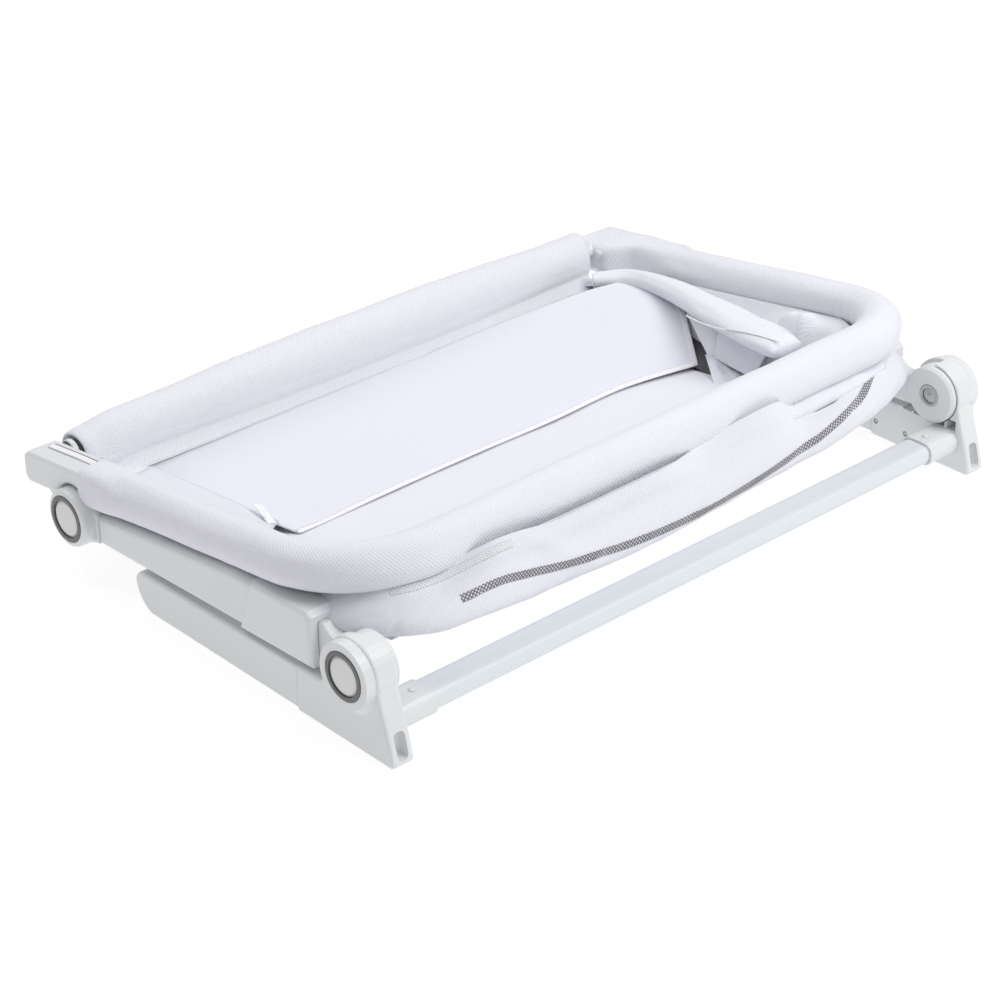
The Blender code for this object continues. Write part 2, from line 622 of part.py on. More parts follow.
def basket_bracket(name, side):
    y, z = UPPER_HUB
    reach = 0.0368
    outline = [(0.3150, 0.0870), (0.3150, 0.1100), (0.3080, 0.1160), (0.2000, 0.1290), (0.1700, 0.1330),
               (0.1620, 0.1300), (0.1620, 0.1000), (0.1680, 0.0960)]
    outline += arc(y, z, reach, 136, 28, 9)
    outline += [(0.2600, 0.0835), (0.3050, 0.0778), (0.3110, 0.0800)]
    bracket = side_plate(name, outline, U_BRACKET_IN, U_BRACKET_OUT, side, PLASTIC, rim=0.0045, steps=2)
    web_outline = [(0.3060, 0.0800), (0.3060, 0.0900), (0.2500, 0.1080), (0.1950, 0.1040)]
    web_outline += arc(y, z, R_CHEEK, 158, 300, 12)
    web = side_plate(name + "_web", web_outline, U_CHEEK_IN, U_CHEEK_OUT - 0.0005, side, rim=0.0012,
                     steps=0)
    boolean(bracket, web, 'UNION')
    inboard_half(bracket, side, UPPER_HUB)
    ends = [Vector((side * RAIL_U, 0.1900, rail_height(side * RAIL_U, 0.1900))),
            Vector((side * RAIL_U, 0.1500, rail_height(side * RAIL_U, 0.1500)))]
    boolean(bracket, straight_cutter(name + "_rail_room", ends, R_TUBE + GAP))
    ends = [Vector((side * 0.4290, BACK_Y, BACK_Z)), Vector((side * 0.4000, BACK_Y, BACK_Z))]
    boolean(bracket, straight_cutter(name + "_back_room", ends, 0.0078))
    return bracket


def straight_cutter(name, ends, radius):
    start, end = ends
    axis = end - start
    bm = bmesh.new()
    bmesh.ops.create_cone(bm, cap_ends=True, segments=20, radius1=radius, radius2=radius,
                          depth=axis.length)
    mesh = bpy.data.meshes.new(name)
    bm.to_mesh(mesh)
    bm.free()
    turn = axis.to_track_quat('Z', 'Y').to_matrix().to_4x4()
    return place(name, mesh, Matrix.Translation((start + end) / 2) @ turn)


def rail_plug(name, side):
    """The ribbed end plug that joins the back rail's tube to its bracket."""
    profile = [(0, 0.4280), (0.0075, 0.4280), (0.0075, 0.4197)]
    for i in range(3):
        u = 0.4197 - 0.0044 * i
        profile += [(0.0135, u), (0.0135, u - 0.0024), (0.0115, u - 0.0026), (0.0115, u - 0.0042)]
    profile += [(0.0092, 0.4060), (0.0092, 0.3900), (0, 0.3900)]
    return lathe(name, profile, side, (BACK_Y, BACK_Z), ((0.20, 0.20, 0.21, 1), 0.5, 0.0), steps=20)


def back_rail():
    half = 0.4055
    ends = [(-half, BACK_Y, BACK_Z), (half, BACK_Y, BACK_Z)]
    rail = tube("back_rail_tube", ends, R_TUBE, METAL, wall=TUBE_WALL)
    sleeve = [(BACK_COVER[0] + 0.004, BACK_Y, BACK_Z), (BACK_COVER[1], BACK_Y, BACK_Z)]
    cover = tube("back_rail_cover", sleeve, R_TUBE + GAP, CLOTH, shell=R_BACK_COVER - R_TUBE - GAP)
    return rail, cover


def soft_sheet(name, outline, x0, x1):
    """A plain fabric solid: a side-view outline carried along X."""
    mesh = extruded_mesh(name, [outline], x1 - x0)
    return place(name, mesh, Matrix.Translation(((x0 + x1) / 2, 0, 0)) @ SIDE_VIEW, CLOTH)


def tub():
    """The folded fabric tub: four soft walls round the mattress's way down."""
    rail_low = rail_height(0, RAIL_FRONT) - R_RAIL_COVER
    front = [(-0.2300, rail_low - 0.0060), (-0.2520, 0.1100), (-0.2560, 0.0850), (-0.2440, 0.0700),
             (-0.2150, 0.0640), (-0.2080, 0.0720), (-0.2180, 0.0800), (-0.2280, 0.1050),
             (-0.2140, rail_low - 0.0060)]
    back = [(0.2530, 0.0995), (0.2200, 0.0985), (0.0600, 0.0560), (0.0580, 0.0490), (0.2250, 0.0905),
            (0.2530, 0.0925)]
    pieces = [soft_sheet("tub_front_wall", front, -0.3100, 0.3900),
              soft_sheet("tub_back_panel", back, -0.3400, 0.3700)]
    for tag, side in SIDES.items():
        inner = 0.3900
        outline = [(0.1500, 0.0500), (0.1500, 0.0960), (-0.1400, 0.1300), (-0.1700, 0.1200),
                   (-0.1700, 0.0700)]
        wall = side_plate(f"tub_{tag}_wall", outline, inner, inner + 0.010, side, CLOTH)
        pieces.append(wall)
    return pieces


def slab(name, inset, top, thickness, finish):
    """A flat layer of the floor, its top so far under the mattress's top, parallel to the rails."""
    low = (-MATTRESS_X + inset, MATTRESS_Y[0] + inset)
    high = (MATTRESS_X - inset, MATTRESS_Y[1] - inset)
    mesh = extruded_mesh(name, [rounded(low, high, 0.0200)], thickness)
    lean = Matrix.Translation((0, *MATTRESS_AT)) @ Matrix.Rotation(-math.atan(RAIL_SLOPE), 4, 'X')
    return place(name, mesh, lean @ Matrix.Translation((0, 0, -top - thickness / 2)), finish)


def snap_button(name):
    """The press stud that holds the tub's corner; its shank runs through the padding to the bracket."""
    base, head = U_BRACKET_IN - GAP, 0.3905
    profile = [(0, base), (0.0045, base), (0.0045, head), (0.0065, head), (0.0065, head - 0.0016),
               (0.0040, head - 0.0034), (0, head - 0.0038)]
    return lathe(name, profile, 1, (0.2665, 0.1110), PLASTIC, steps=16)


def front_mesh_strip(name):
    """The long vent strip sewn on the front wall."""
    outline = rounded((-0.2595, 0.0860), (-0.2573, 0.0960), 0.0008, 1)
    mesh = extruded_mesh(name, [outline], 0.6200)
    return place(name, mesh, Matrix.Translation((0.0400, 0, 0)) @ SIDE_VIEW, ((0.3, 0.3, 0.32, 1), 0.8, 0.0))


# ---------------------------------------------------------------- assembly

def build_side(tag, side, basket):
    feet = empty(tag + "_foot_frame", (side * U_FOOT_IN, FOOT_FRONT, 0))
    leg = empty(tag + "_leg_pivot", (side * U_CHEEK_OUT, *LOWER_HUB))
    slide = empty(tag + "_slide_pivot", (side * U_TUBE_OUT, *UPPER_HUB))
    attach(foot_casing(tag + "_foot_casing", side), feet)
    attach(foot_rail(tag + "_foot_rail", side), feet)
    for end, screw_y in SCREWS.items():
        attach(foot_screw(f"{tag}_foot_screw_{end}", side, screw_y), feet)
    attach(crossbar_rivet(tag + "_crossbar_rivet", side), feet)
    hub_pieces(tag + "_lower", side, LOWER_HUB, feet, feet)
    attach(leg_knuckle(tag + "_leg_knuckle", side), leg)
    attach(inner_tube(tag + "_leg_inner_tube", side), leg)
    attach(leg_sleeve(tag + "_leg_sleeve", side), slide)
    attach(height_collar(tag + "_height_collar", side), slide)
    lever_pivot = empty(tag + "_lever_pivot", (side * U_COLLAR_IN, -0.16, 0.086))
    attach(height_lever(tag + "_height_lever", side), lever_pivot)
    attach(upper_housing(tag + "_upper_housing", side), slide)
    hub_pieces(tag + "_upper", side, UPPER_HUB, slide, slide)
    attach(basket_bracket(tag + "_basket_bracket", side), basket)
    attach(rail_plug(tag + "_rail_plug", side), basket)


def build():
    basket = empty("basket_pivot", (0, *UPPER_HUB))
    mattress_pivot = empty("mattress_pivot", (0, *MATTRESS_AT))
    for tag, side in SIDES.items():
        build_side(tag, side, basket)
    crossbar("crossbar")
    u_tube = tube("u_rail_tube", rail_path(0.1880), R_TUBE, METAL, wall=TUBE_WALL)
    u_cover = tube("u_rail_cover", rail_path(COVER_START), R_TUBE + GAP, CLOTH,
                   shell=R_RAIL_COVER - R_TUBE - GAP)
    for obj in (u_tube, u_cover, *back_rail(), *tub()):
        attach(obj, basket)
    attach(snap_button("snap_button"), basket)
    attach(front_mesh_strip("front_mesh_strip"), basket)
    attach(slab("mattress", 0, 0, MATTRESS_T, CLOTH), mattress_pivot)
    attach(slab("mattress_board", 0.004, MATTRESS_T + GAP, BOARD_T, ((0.55, 0.45, 0.33, 1), 0.7, 0.0)),
           mattress_pivot)
    attach(slab("tub_floor", 0, MATTRESS_T + BOARD_T + 2 * GAP, FLOOR_T, CLOTH), mattress_pivot)
    for obj in PARTS.objects:
        if obj.type == 'MESH' and not any(m.type == 'SCREW' for m in obj.modifiers):
            polish(obj)


clear_scene()
PARTS = new_collection("bassinet_on_stand")
CUTTERS = new_collection("cutters", hidden=True)
build()
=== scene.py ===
"""The looks of the folded bedside bassinet: finishes for the frame's parts, and its soft goods.

Metres, +Z up, +X to the right end, -Y towards the crossbar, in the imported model's own frame.
"""

import math

import bmesh
import bpy
from mathutils import Matrix, Vector, noise


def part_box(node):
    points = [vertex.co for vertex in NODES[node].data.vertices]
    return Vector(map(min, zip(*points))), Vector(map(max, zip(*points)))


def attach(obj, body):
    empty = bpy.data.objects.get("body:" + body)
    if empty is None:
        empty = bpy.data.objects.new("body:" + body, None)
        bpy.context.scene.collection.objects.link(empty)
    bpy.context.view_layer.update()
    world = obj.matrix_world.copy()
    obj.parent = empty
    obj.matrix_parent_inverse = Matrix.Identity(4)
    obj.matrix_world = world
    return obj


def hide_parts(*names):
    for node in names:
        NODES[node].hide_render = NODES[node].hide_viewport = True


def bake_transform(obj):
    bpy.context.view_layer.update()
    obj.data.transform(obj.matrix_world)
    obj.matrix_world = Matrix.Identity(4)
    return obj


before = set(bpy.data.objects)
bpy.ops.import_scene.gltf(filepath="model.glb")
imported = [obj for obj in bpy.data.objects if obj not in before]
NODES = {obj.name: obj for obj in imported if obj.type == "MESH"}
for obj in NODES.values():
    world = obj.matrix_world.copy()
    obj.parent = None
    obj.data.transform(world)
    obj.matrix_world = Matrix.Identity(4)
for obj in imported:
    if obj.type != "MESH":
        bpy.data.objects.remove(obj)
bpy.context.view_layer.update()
SIDES = {"left": -1, "right": 1}
MM = 0.001                              # the UV step of pieces whose finish has no weave

# ------------------------------------------------------------------ where the frame's parts are
U_RAIL_X = 0.438
RAIL_Y, RAIL_Z, RAIL_SLOPE, RAIL_TWIST = 0.195, 0.108, 0.130, 0.010
RAIL_FRONT, RAIL_CORNER = -0.222, 0.110
BACK_Y, BACK_Z = 0.2885, 0.106
MATTRESS_X = 0.360
MATTRESS_AT, MATTRESS_TILT = (0.020, 0.046), -0.130     # a point (y, z) of its top, its slope
MATTRESS_Y = (-0.1950, 0.1660)


def rail_height(x, y):
    """Height of the U-rail's centre; the front right corner sits a little higher."""
    forward = RAIL_Y - y
    twist = RAIL_TWIST * (x / U_RAIL_X + 1) / 2 * forward / 0.4
    return RAIL_Z + RAIL_SLOPE * forward + twist


def mattress_top(y):
    return MATTRESS_AT[1] + MATTRESS_TILT * (y - MATTRESS_AT[0])


def smooth(value, low=0.0, high=1.0):
    """0 below low, 1 above high, and an S-curve between."""
    t = min(1.0, max(0.0, (value - low) / (high - low)))
    return t * t * (3 - 2 * t)


def bump_at(value, centre, width):
    """A soft bump of height 1 round a centre."""
    return math.exp(-((value - centre) / width) ** 2)


def mix(a, b, t):
    return a + (b - a) * t


def squared(value, power):
    """Draws a cosine or sine out towards a square wave, and keeps its sign."""
    return math.copysign(abs(value) ** power, value)


def along(points, t):
    """The point at t, from 0 to 1, on a smooth curve through equally spaced points."""
    spans = len(points) - 1
    place = min(max(t, 0.0), 1.0) * spans
    i = min(int(place), spans - 1)
    f = place - i
    before, a, b, after = (Vector(points[min(max(k, 0), spans)]) for k in (i - 1, i, i + 1, i + 2))
    return 0.5 * (2 * a + (b - before) * f + (2 * before - 5 * a + 4 * b - after) * f * f
                  + (3 * a - before - 3 * b + after) * f ** 3)


def along_flat(points, t):
    """The same for points of two numbers."""
    return along([(a, b, 0) for a, b in points], t)[:2]


def traced(points, spans):
    """Points on the smooth curve, with equal steps of t between them."""
    return [along(points, i / spans) for i in range(spans + 1)]


def value_at(stops, x):
    """A smooth value between (place, value) stops."""
    if x <= stops[0][0]:
        return stops[0][1]
    for (x0, v0), (x1, v1) in zip(stops, stops[1:]):
        if x <= x1:
            return mix(v0, v1, smooth(x, x0, x1))
    return stops[-1][1]


# ------------------------------------------------------------------ materials
MATERIALS = {}


def add(tree, kind, inputs=None, **settings):
    """A new node; an input is a number or another node's output."""
    node = tree.nodes.new("ShaderNode" + kind)
    for key, value in settings.items():
        setattr(node, key, value)
    for key, value in (inputs or {}).items():
        if isinstance(value, bpy.types.NodeSocket):
            tree.links.new(value, node.inputs[key])
        else:
            node.inputs[key].default_value = value
    return node


def new_material(name, roughness, metallic=0.0, **sockets):
    """Files a material under its name; gives its node tree and its shader, sockets set."""
    material = bpy.data.materials.new(name)
    material.use_nodes = True
    shader = material.node_tree.nodes["Principled BSDF"]
    shader.inputs["Roughness"].default_value = roughness
    shader.inputs["Metallic"].default_value = metallic
    for key, value in sockets.items():
        shader.inputs[key.replace("_", " ")].default_value = value
    MATERIALS[name] = material
    return material.node_tree, shader


def noise_of(tree, where, scale, detail=3.0, roughness=0.5):
    return add(tree, "TexNoise", {"Vector": where, "Scale": scale, "Detail": detail,
                                  "Roughness": roughness}).outputs["Fac"]


def math_of(tree, operation, a, b=0.0):
    return add(tree, "Math", {0: a, 1: b}, operation=operation).outputs[0]


def ramp_between(tree, factor, dark, light):
    """The colour between two others."""
    node = add(tree, "Mix", data_type="RGBA")
    tree.links.new(factor, node.inputs["Factor"])
    node.inputs["A"].default_value = (*dark, 1)
    node.inputs["B"].default_value = (*light, 1)
    return node.outputs["Result"]


def tinted(tree, shader, factor, colour, share):
    """The base colour, from share times the colour up to the colour itself."""
    dark = tuple(c * share for c in colour)
    tree.links.new(ramp_between(tree, factor, dark, colour), shader.inputs["Base Color"])


def spread(tree, value, low, high):
    """Maps 0 to 1 onto low to high."""
    return add(tree, "MapRange", {"Value": value, "To Min": low, "To Max": high}).outputs["Result"]


def bumped(tree, shader, height, strength, distance, under=None):
    """Gives the shader a relief, over another normal if there is one."""
    node = add(tree, "Bump", {"Height": height, "Strength": strength, "Distance": distance})
    if under is not None:
        tree.links.new(under, node.inputs["Normal"])
    tree.links.new(node.outputs["Normal"], shader.inputs["Normal"])


def soft_edge(tree, radius):
    """A normal that rounds sharp edges off."""
    return add(tree, "Bevel", {"Radius": radius}, samples=4).outputs["Normal"]


def moulded(name, colour, roughness):
    """Satin moulded plastic: faint flow marks, a fine spark-eroded grain and broken edges."""
    tree, shader = new_material(name, roughness, Coat_Weight=0.08, Coat_Roughness=0.3)
    where = add(tree, "TexCoord").outputs["Object"]
    flow = noise_of(tree, where, 9.0, 2.0)
    tinted(tree, shader, flow, colour, 0.955)
    grain = noise_of(tree, where, 900.0, 2.0)
    tree.links.new(spread(tree, noise_of(tree, where, 60.0), roughness - 0.07, roughness + 0.07),
                   shader.inputs["Roughness"])
    bumped(tree, shader, grain, 0.12, 0.0002, soft_edge(tree, 0.0007))


def painted(name, colour, roughness):
    """Powder-coated steel, with a slight orange peel."""
    tree, shader = new_material(name, roughness, Coat_Weight=0.15, Coat_Roughness=0.3)
    where = add(tree, "TexCoord").outputs["Object"]
    tone = noise_of(tree, where, 7.0, 2.0)
    tinted(tree, shader, tone, colour, 0.965)
    peel = noise_of(tree, where, 420.0, 1.0)
    bumped(tree, shader, peel, 0.16, 0.0003, soft_edge(tree, 0.0006))


def turned_metal(name, colour, roughness, stretch):
    """Bare metal, with fine marks that stretch draws out."""
    tree, shader = new_material(name, roughness, 1.0)
    where = add(tree, "TexCoord").outputs["Object"]
    drawn = add(tree, "Mapping", {"Vector": where, "Scale": stretch}).outputs["Vector"]
    marks = noise_of(tree, drawn, 500.0, 4.0, 0.65)
    tinted(tree, shader, marks, colour, 0.8)
    tree.links.new(spread(tree, marks, roughness - 0.08, roughness + 0.12),
                   shader.inputs["Roughness"])
    bumped(tree, shader, marks, 0.2, 0.0001)


def ridge(tree, where, degrees, pitch):
    """A sine from -1 to 1 across the cloth, in metres of its UV map."""
    turn = math.radians(degrees)
    step = [math.cos(turn) * math.tau / pitch, math.sin(turn) * math.tau / pitch, 0.0]
    dot = add(tree, "VectorMath", {0: where, 1: step}, operation="DOT_PRODUCT").outputs["Value"]
    return add(tree, "Math", {0: dot}, operation="SINE").outputs[0]


def cloth_shader(name, colour, depth, ridges, relief, roughness=0.88, sheen=0.25):
    """Cloth with ridges, (degrees, pitch) each, and a fine unevenness; painted shade darkens its
    hollows by the share depth, over a random tone."""
    tree, shader = new_material(name, roughness, Sheen_Weight=sheen, Sheen_Roughness=0.4)
    shader.inputs["Specular IOR Level"].default_value = 0.25
    where = add(tree, "UVMap").outputs["UV"]
    wobble = noise_of(tree, where, 700.0, 2.0)
    first, second = (ridge(tree, where, *r) for r in ridges)
    height = math_of(tree, "MULTIPLY", first, second)
    twill = math_of(tree, "MULTIPLY", first, 0.5)
    height = math_of(tree, "ADD", math_of(tree, "MULTIPLY", height, 0.5), twill)
    height = math_of(tree, "ADD", height, math_of(tree, "MULTIPLY", wobble, 0.5))
    lift = add(tree, "MapRange", {"Value": height, "From Min": -0.9, "From Max": 1.3})
    tone = noise_of(tree, where, 14.0, 3.0)
    # painted shade: the colour darkens where the weave's relief is low, times a random tone
    tone_and_painted_shade = math_of(tree, "MULTIPLY", spread(tree, tone, 0.93, 1.0), lift.outputs["Result"])
    tinted(tree, shader, tone_and_painted_shade, colour, 1 - depth)
    bumped(tree, shader, lift.outputs["Result"], 0.55, relief)


def board_material():
    """Thin fibreboard, with its fibres along X."""
    tree, shader = new_material("board_wood", 0.7)
    where = add(tree, "TexCoord").outputs["Object"]
    fibres = add(tree, "Mapping", {"Vector": where, "Scale": (0.2, 1, 1)}).outputs["Vector"]
    tone = noise_of(tree, fibres, 240.0, 5.0, 0.6)
    tree.links.new(ramp_between(tree, tone, (0.40, 0.31, 0.21), (0.60, 0.50, 0.37)),
                   shader.inputs["Base Color"])
    bumped(tree, shader, tone, 0.3, 0.0003)


def net_material(name, colour, pitch, hole, seen_through=1.0):
    """Open mesh: diagonal threads with see-through diamonds between them."""
    tree, shader = new_material(name, 0.75, Sheen_Weight=0.2)
    where = add(tree, "UVMap").outputs["UV"]
    waves = [math_of(tree, "ABSOLUTE", ridge(tree, where, turn, pitch * 2)) for turn in (45, -45)]
    gap = math_of(tree, "MINIMUM", *waves)
    thread = add(tree, "MapRange", {"Value": gap, "From Min": hole - 0.07, "From Max": hole + 0.07,
                                    "To Min": 1.0, "To Max": 1.0 - seen_through})
    tree.links.new(thread.outputs["Result"], shader.inputs["Alpha"])
    twist = noise_of(tree, where, 900.0, 2.0)
    tinted(tree, shader, twist, colour, 0.75)
    bumped(tree, shader, gap, 0.6, 0.0004)


FABRIC = (0.845, 0.85, 0.905)
moulded("shell_plastic", (0.745, 0.762, 0.772), 0.42)
moulded("button_plastic", (0.72, 0.725, 0.71), 0.40)
moulded("ring_plastic", (0.125, 0.125, 0.132), 0.45)
moulded("plug_plastic", (0.17, 0.17, 0.18), 0.5)
painted("bar_paint", (0.72, 0.755, 0.785), 0.46)
painted("rail_steel", (0.76, 0.77, 0.78), 0.35)
turned_metal("hub_steel", (0.46, 0.47, 0.48), 0.34, (1, 1, 1))
turned_metal("leg_aluminium", (0.75, 0.76, 0.77), 0.34, (1, 0.05, 1))
cloth_shader("rail_fabric", FABRIC, 0.17, [(38, 0.0029), (-50, 0.0040)], 0.0009)
cloth_shader("tub_fabric", FABRIC, 0.15, [(45, 0.0027), (-45, 0.0027)], 0.0007)
cloth_shader("panel_fabric", (0.755, 0.76, 0.83), 0.03, [(0, 0.0008), (90, 0.0008)], 0.0001,
             0.72, 0.12)
cloth_shader("floor_fabric", (0.80, 0.80, 0.85), 0.08, [(0, 0.0014), (90, 0.0014)], 0.0003)
cloth_shader("mattress_fabric", (0.80, 0.80, 0.855), 0.06, [(45, 0.0020), (-45, 0.0020)], 0.0003)
cloth_shader("piping", (0.88, 0.88, 0.91), 0.06, [(60, 0.0011), (0, 0.0030)], 0.0002)
cloth_shader("grey_lining", (0.11, 0.11, 0.125), 0.35, [(0, 0.0016), (90, 0.0016)], 0.0003)
cloth_shader("fine_net", (0.79, 0.80, 0.87), 0.16, [(0, 0.0026), (90, 0.0026)], 0.0005)
net_material("grey_mesh", (0.20, 0.20, 0.22), 0.0034, 0.36)
net_material("eyelet_mesh", (0.90, 0.91, 0.95), 0.0028, 0.62, 0.35)
board_material()

NODE_SLOTS = {
    "shell_plastic": ("foot_casing", "foot_rail", "leg_knuckle", "leg_sleeve", "height_collar",
                      "height_lever", "upper_housing", "basket_bracket"),
    "button_plastic": ("button",),
    "ring_plastic": ("ring",),
    "plug_plastic": ("rail_plug",),
    "bar_paint": ("crossbar",),
    "rail_steel": ("rail_tube",),
    "hub_steel": ("axle", "spring", "screw", "rivet"),
    "leg_aluminium": ("inner_tube",),
    "board_wood": ("mattress_board",),
}


def slot_of(node_name):
    """The longest part name that the node's name holds decides its finish."""
    found = [(len(part), slot) for slot, parts in NODE_SLOTS.items() for part in parts
             if part in node_name]
    return max(found)[1] if found else None


def dress(obj, finish):
    """Gives an object one of the materials."""
    obj.data.materials.clear()
    obj.data.materials.append(MATERIALS[finish])


for node_name, node in NODES.items():
    slot_name = "button_plastic" if node_name == "snap_button" else slot_of(node_name)
    if slot_name:
        if not node.material_slots:
            node.data.materials.append(MATERIALS[slot_name])
        for material_slot in node.material_slots:
            material_slot.material = MATERIALS[slot_name]


# ------------------------------------------------------------------ mesh helpers
def linked(name, data):
    """A new object in the scene."""
    obj = bpy.data.objects.new(name, data)
    bpy.context.scene.collection.objects.link(obj)
    return obj


def object_from(bm, name, finish):
    """A new object made of the bmesh's faces."""
    mesh = bpy.data.meshes.new(name)
    bm.to_mesh(mesh)
    bm.free()
    obj = linked(name, mesh)
    dress(obj, finish)
    return obj


def grid_object(name, rows, finish, uv, closed=False, capped=False):
    """A quad grid from rows of points; uv gives each point's place on the flat cloth."""
    bm = bmesh.new()
    layer = bm.loops.layers.uv.new("UVMap")
    verts = [[bm.verts.new(p) for p in row] for row in rows]
    count = len(rows[0])
    for i in range(len(rows) - 1):
        for j in range(count if closed else count - 1):
            k = (j + 1) % count
            face = bm.faces.new((verts[i][j], verts[i + 1][j], verts[i + 1][k], verts[i][k]))
            face.smooth = True
            for loop, (a, b) in zip(face.loops, ((i, j), (i + 1, j), (i + 1, j + 1), (i, j + 1))):
                loop[layer].uv = uv(a, b)
    if capped:
        for ring in (verts[0], verts[-1][::-1]):
            bm.faces.new(ring).smooth = True
    bmesh.ops.recalc_face_normals(bm, faces=bm.faces)
    return object_from(bm, name, finish)


def applied(obj):
    """Puts the modifiers into the mesh."""
    bpy.context.view_layer.update()
    evaluated = obj.evaluated_get(bpy.context.evaluated_depsgraph_get())
    mesh = bpy.data.meshes.new_from_object(evaluated, depsgraph=None)
    obj.modifiers.clear()
    obj.data = mesh
    return obj


def thickened(obj, thickness, offset=0.0):
    """Gives a sheet its thickness; offset 0 keeps the sheet in its middle, 1 at its back."""
    solid = obj.modifiers.new("Solidify", "SOLIDIFY")
    solid.thickness = thickness
    solid.offset = offset
    return applied(obj)


def cloth_surface(name, point, nu, nv, size, finish, thickness=0.0016, offset=0.0):
    """A sheet from point(u, v), u and v from 0 to 1, with size metres of cloth each way."""
    rows = [[point(i / nu, j / nv) for j in range(nv + 1)] for i in range(nu + 1)]
    obj = grid_object(name, rows, finish, lambda i, j: (size[0] * i / nu, size[1] * j / nv))
    return thickened(obj, thickness, offset)


def frames_along(path):
    """The side and up directions at each point of a path that never stands upright."""
    result = []
    for i in range(len(path)):
        way = path[min(i + 1, len(path) - 1)] - path[max(i - 1, 0)]
        side = way.cross(Vector((0, 0, 1))).normalized()
        result.append((side, side.cross(way).normalized()))
    return result


def lengths_along(path):
    """How far each point lies along the path."""
    total, result = 0.0, [0.0]
    for a, b in zip(path, path[1:]):
        total += (b - a).length
        result.append(total)
    return result


def swept(name, path, offset, around, finish):
    """A closed tube round a path: offset(i, s, angle) gives (side, up) from the path's point i,
    which lies s along it."""
    sides, lengths = frames_along(path), lengths_along(path)
    rows = []
    for i, p in enumerate(path):
        side, up = sides[i]
        row = []
        for j in range(around):
            a, b = offset(i, lengths[i], math.tau * j / around)
            row.append(p + side * a + up * b)
        rows.append(row)
    girth = sum((a - b).length for a, b in zip(rows[len(rows) // 2], rows[len(rows) // 2][1:]))
    return grid_object(name, rows, finish, lambda i, j: (lengths[i], girth * j / around),
                       closed=True, capped=True)


def resampled(points, step):
    """The same line with points a step apart."""
    points = [Vector(p) for p in points]
    lengths = lengths_along(points)
    count = max(2, round(lengths[-1] / step))
    result, k = [], 0
    for i in range(count + 1):
        want = lengths[-1] * i / count
        while k < len(lengths) - 2 and lengths[k + 1] < want:
            k += 1
        span = lengths[k + 1] - lengths[k]
        result.append(points[k].lerp(points[k + 1], (want - lengths[k]) / span if span else 0))
    return result


PUFF_FRAMES = 20


def puffed(obj, pressure, cap):
    """Inflates the cloth, so that it wrinkles like a stuffed cover; no point moves past cap."""
    rest = [v.co.copy() for v in obj.data.vertices]
    cloth = obj.modifiers.new("Cloth", "CLOTH")
    settings = cloth.settings
    settings.quality = 4
    settings.mass = 0.2
    settings.tension_stiffness = settings.compression_stiffness = 12
    settings.shear_stiffness = 6
    settings.bending_stiffness = 0.4
    settings.use_pressure = True
    settings.uniform_pressure_force = pressure
    settings.effector_weights.gravity = 0
    cloth.collision_settings.use_collision = False
    for number in range(1, PUFF_FRAMES + 1):
        bpy.context.scene.frame_set(number)
    applied(obj)
    for v, start in zip(obj.data.vertices, rest):
        moved = v.co - start
        if moved.length > cap:
            v.co = start + moved.normalized() * cap
    bpy.context.scene.frame_set(1)
    return obj


def subdivided(obj):
    smoothing = obj.modifiers.new("Subdivision", "SUBSURF")
    smoothing.levels = smoothing.render_levels = 1
    return applied(obj)


# ------------------------------------------------------------------ U-rail cover
LEFT_END, RIGHT_END = 0.2120, 0.3185    # how far back the cover's ends reach over the brackets
R_COVER = 0.0250
CORNER_IN = 0.3915                      # the padded corner's inner face, beside the back cover
BRACKET_TOP = [(0.1700, 0.1330), (0.2000, 0.1290), (0.3080, 0.1160), (0.3185, 0.1100)]
LEFT_BOXY, RIGHT_BOXY = (0.040, 0.078), (0.125, 0.175)   # boxy up to, and round from, this far
BOXY_HALF = 0.0245                      # half the width over a bracket
LEFT_ABOVE, LEFT_BELOW = 0.0262, 0.0205
RIGHT_BELOW = (0.0290, 0.0030)          # at its inner and its outer edge
ON_BRACKET, ON_CORNER, UNDER_CORNER = 0.0022, 0.0048, 0.0140    # at the right rear corner
COVER_TIP, COVER_FOLD = 0.86, 0.019     # the ends' share of its width; the pitch of its folds


def rail_line(step):
    """The U-rail's line from the left end round the front to the right end."""
    bend_y = RAIL_FRONT + RAIL_CORNER
    flat = [(-U_RAIL_X, LEFT_END), (-U_RAIL_X, bend_y)]
    for side, first in ((-1, 180), (1, 270)):
        bend_x = side * (U_RAIL_X - RAIL_CORNER)
        for degrees in range(first + 6, first + 96, 6):
            turn = math.radians(degrees)
            flat.append((bend_x + RAIL_CORNER * math.cos(turn),
                         bend_y + RAIL_CORNER * math.sin(turn)))
    flat.append((U_RAIL_X, RIGHT_END))
    return resampled([(x, y, rail_height(x, y)) for x, y in flat], step)


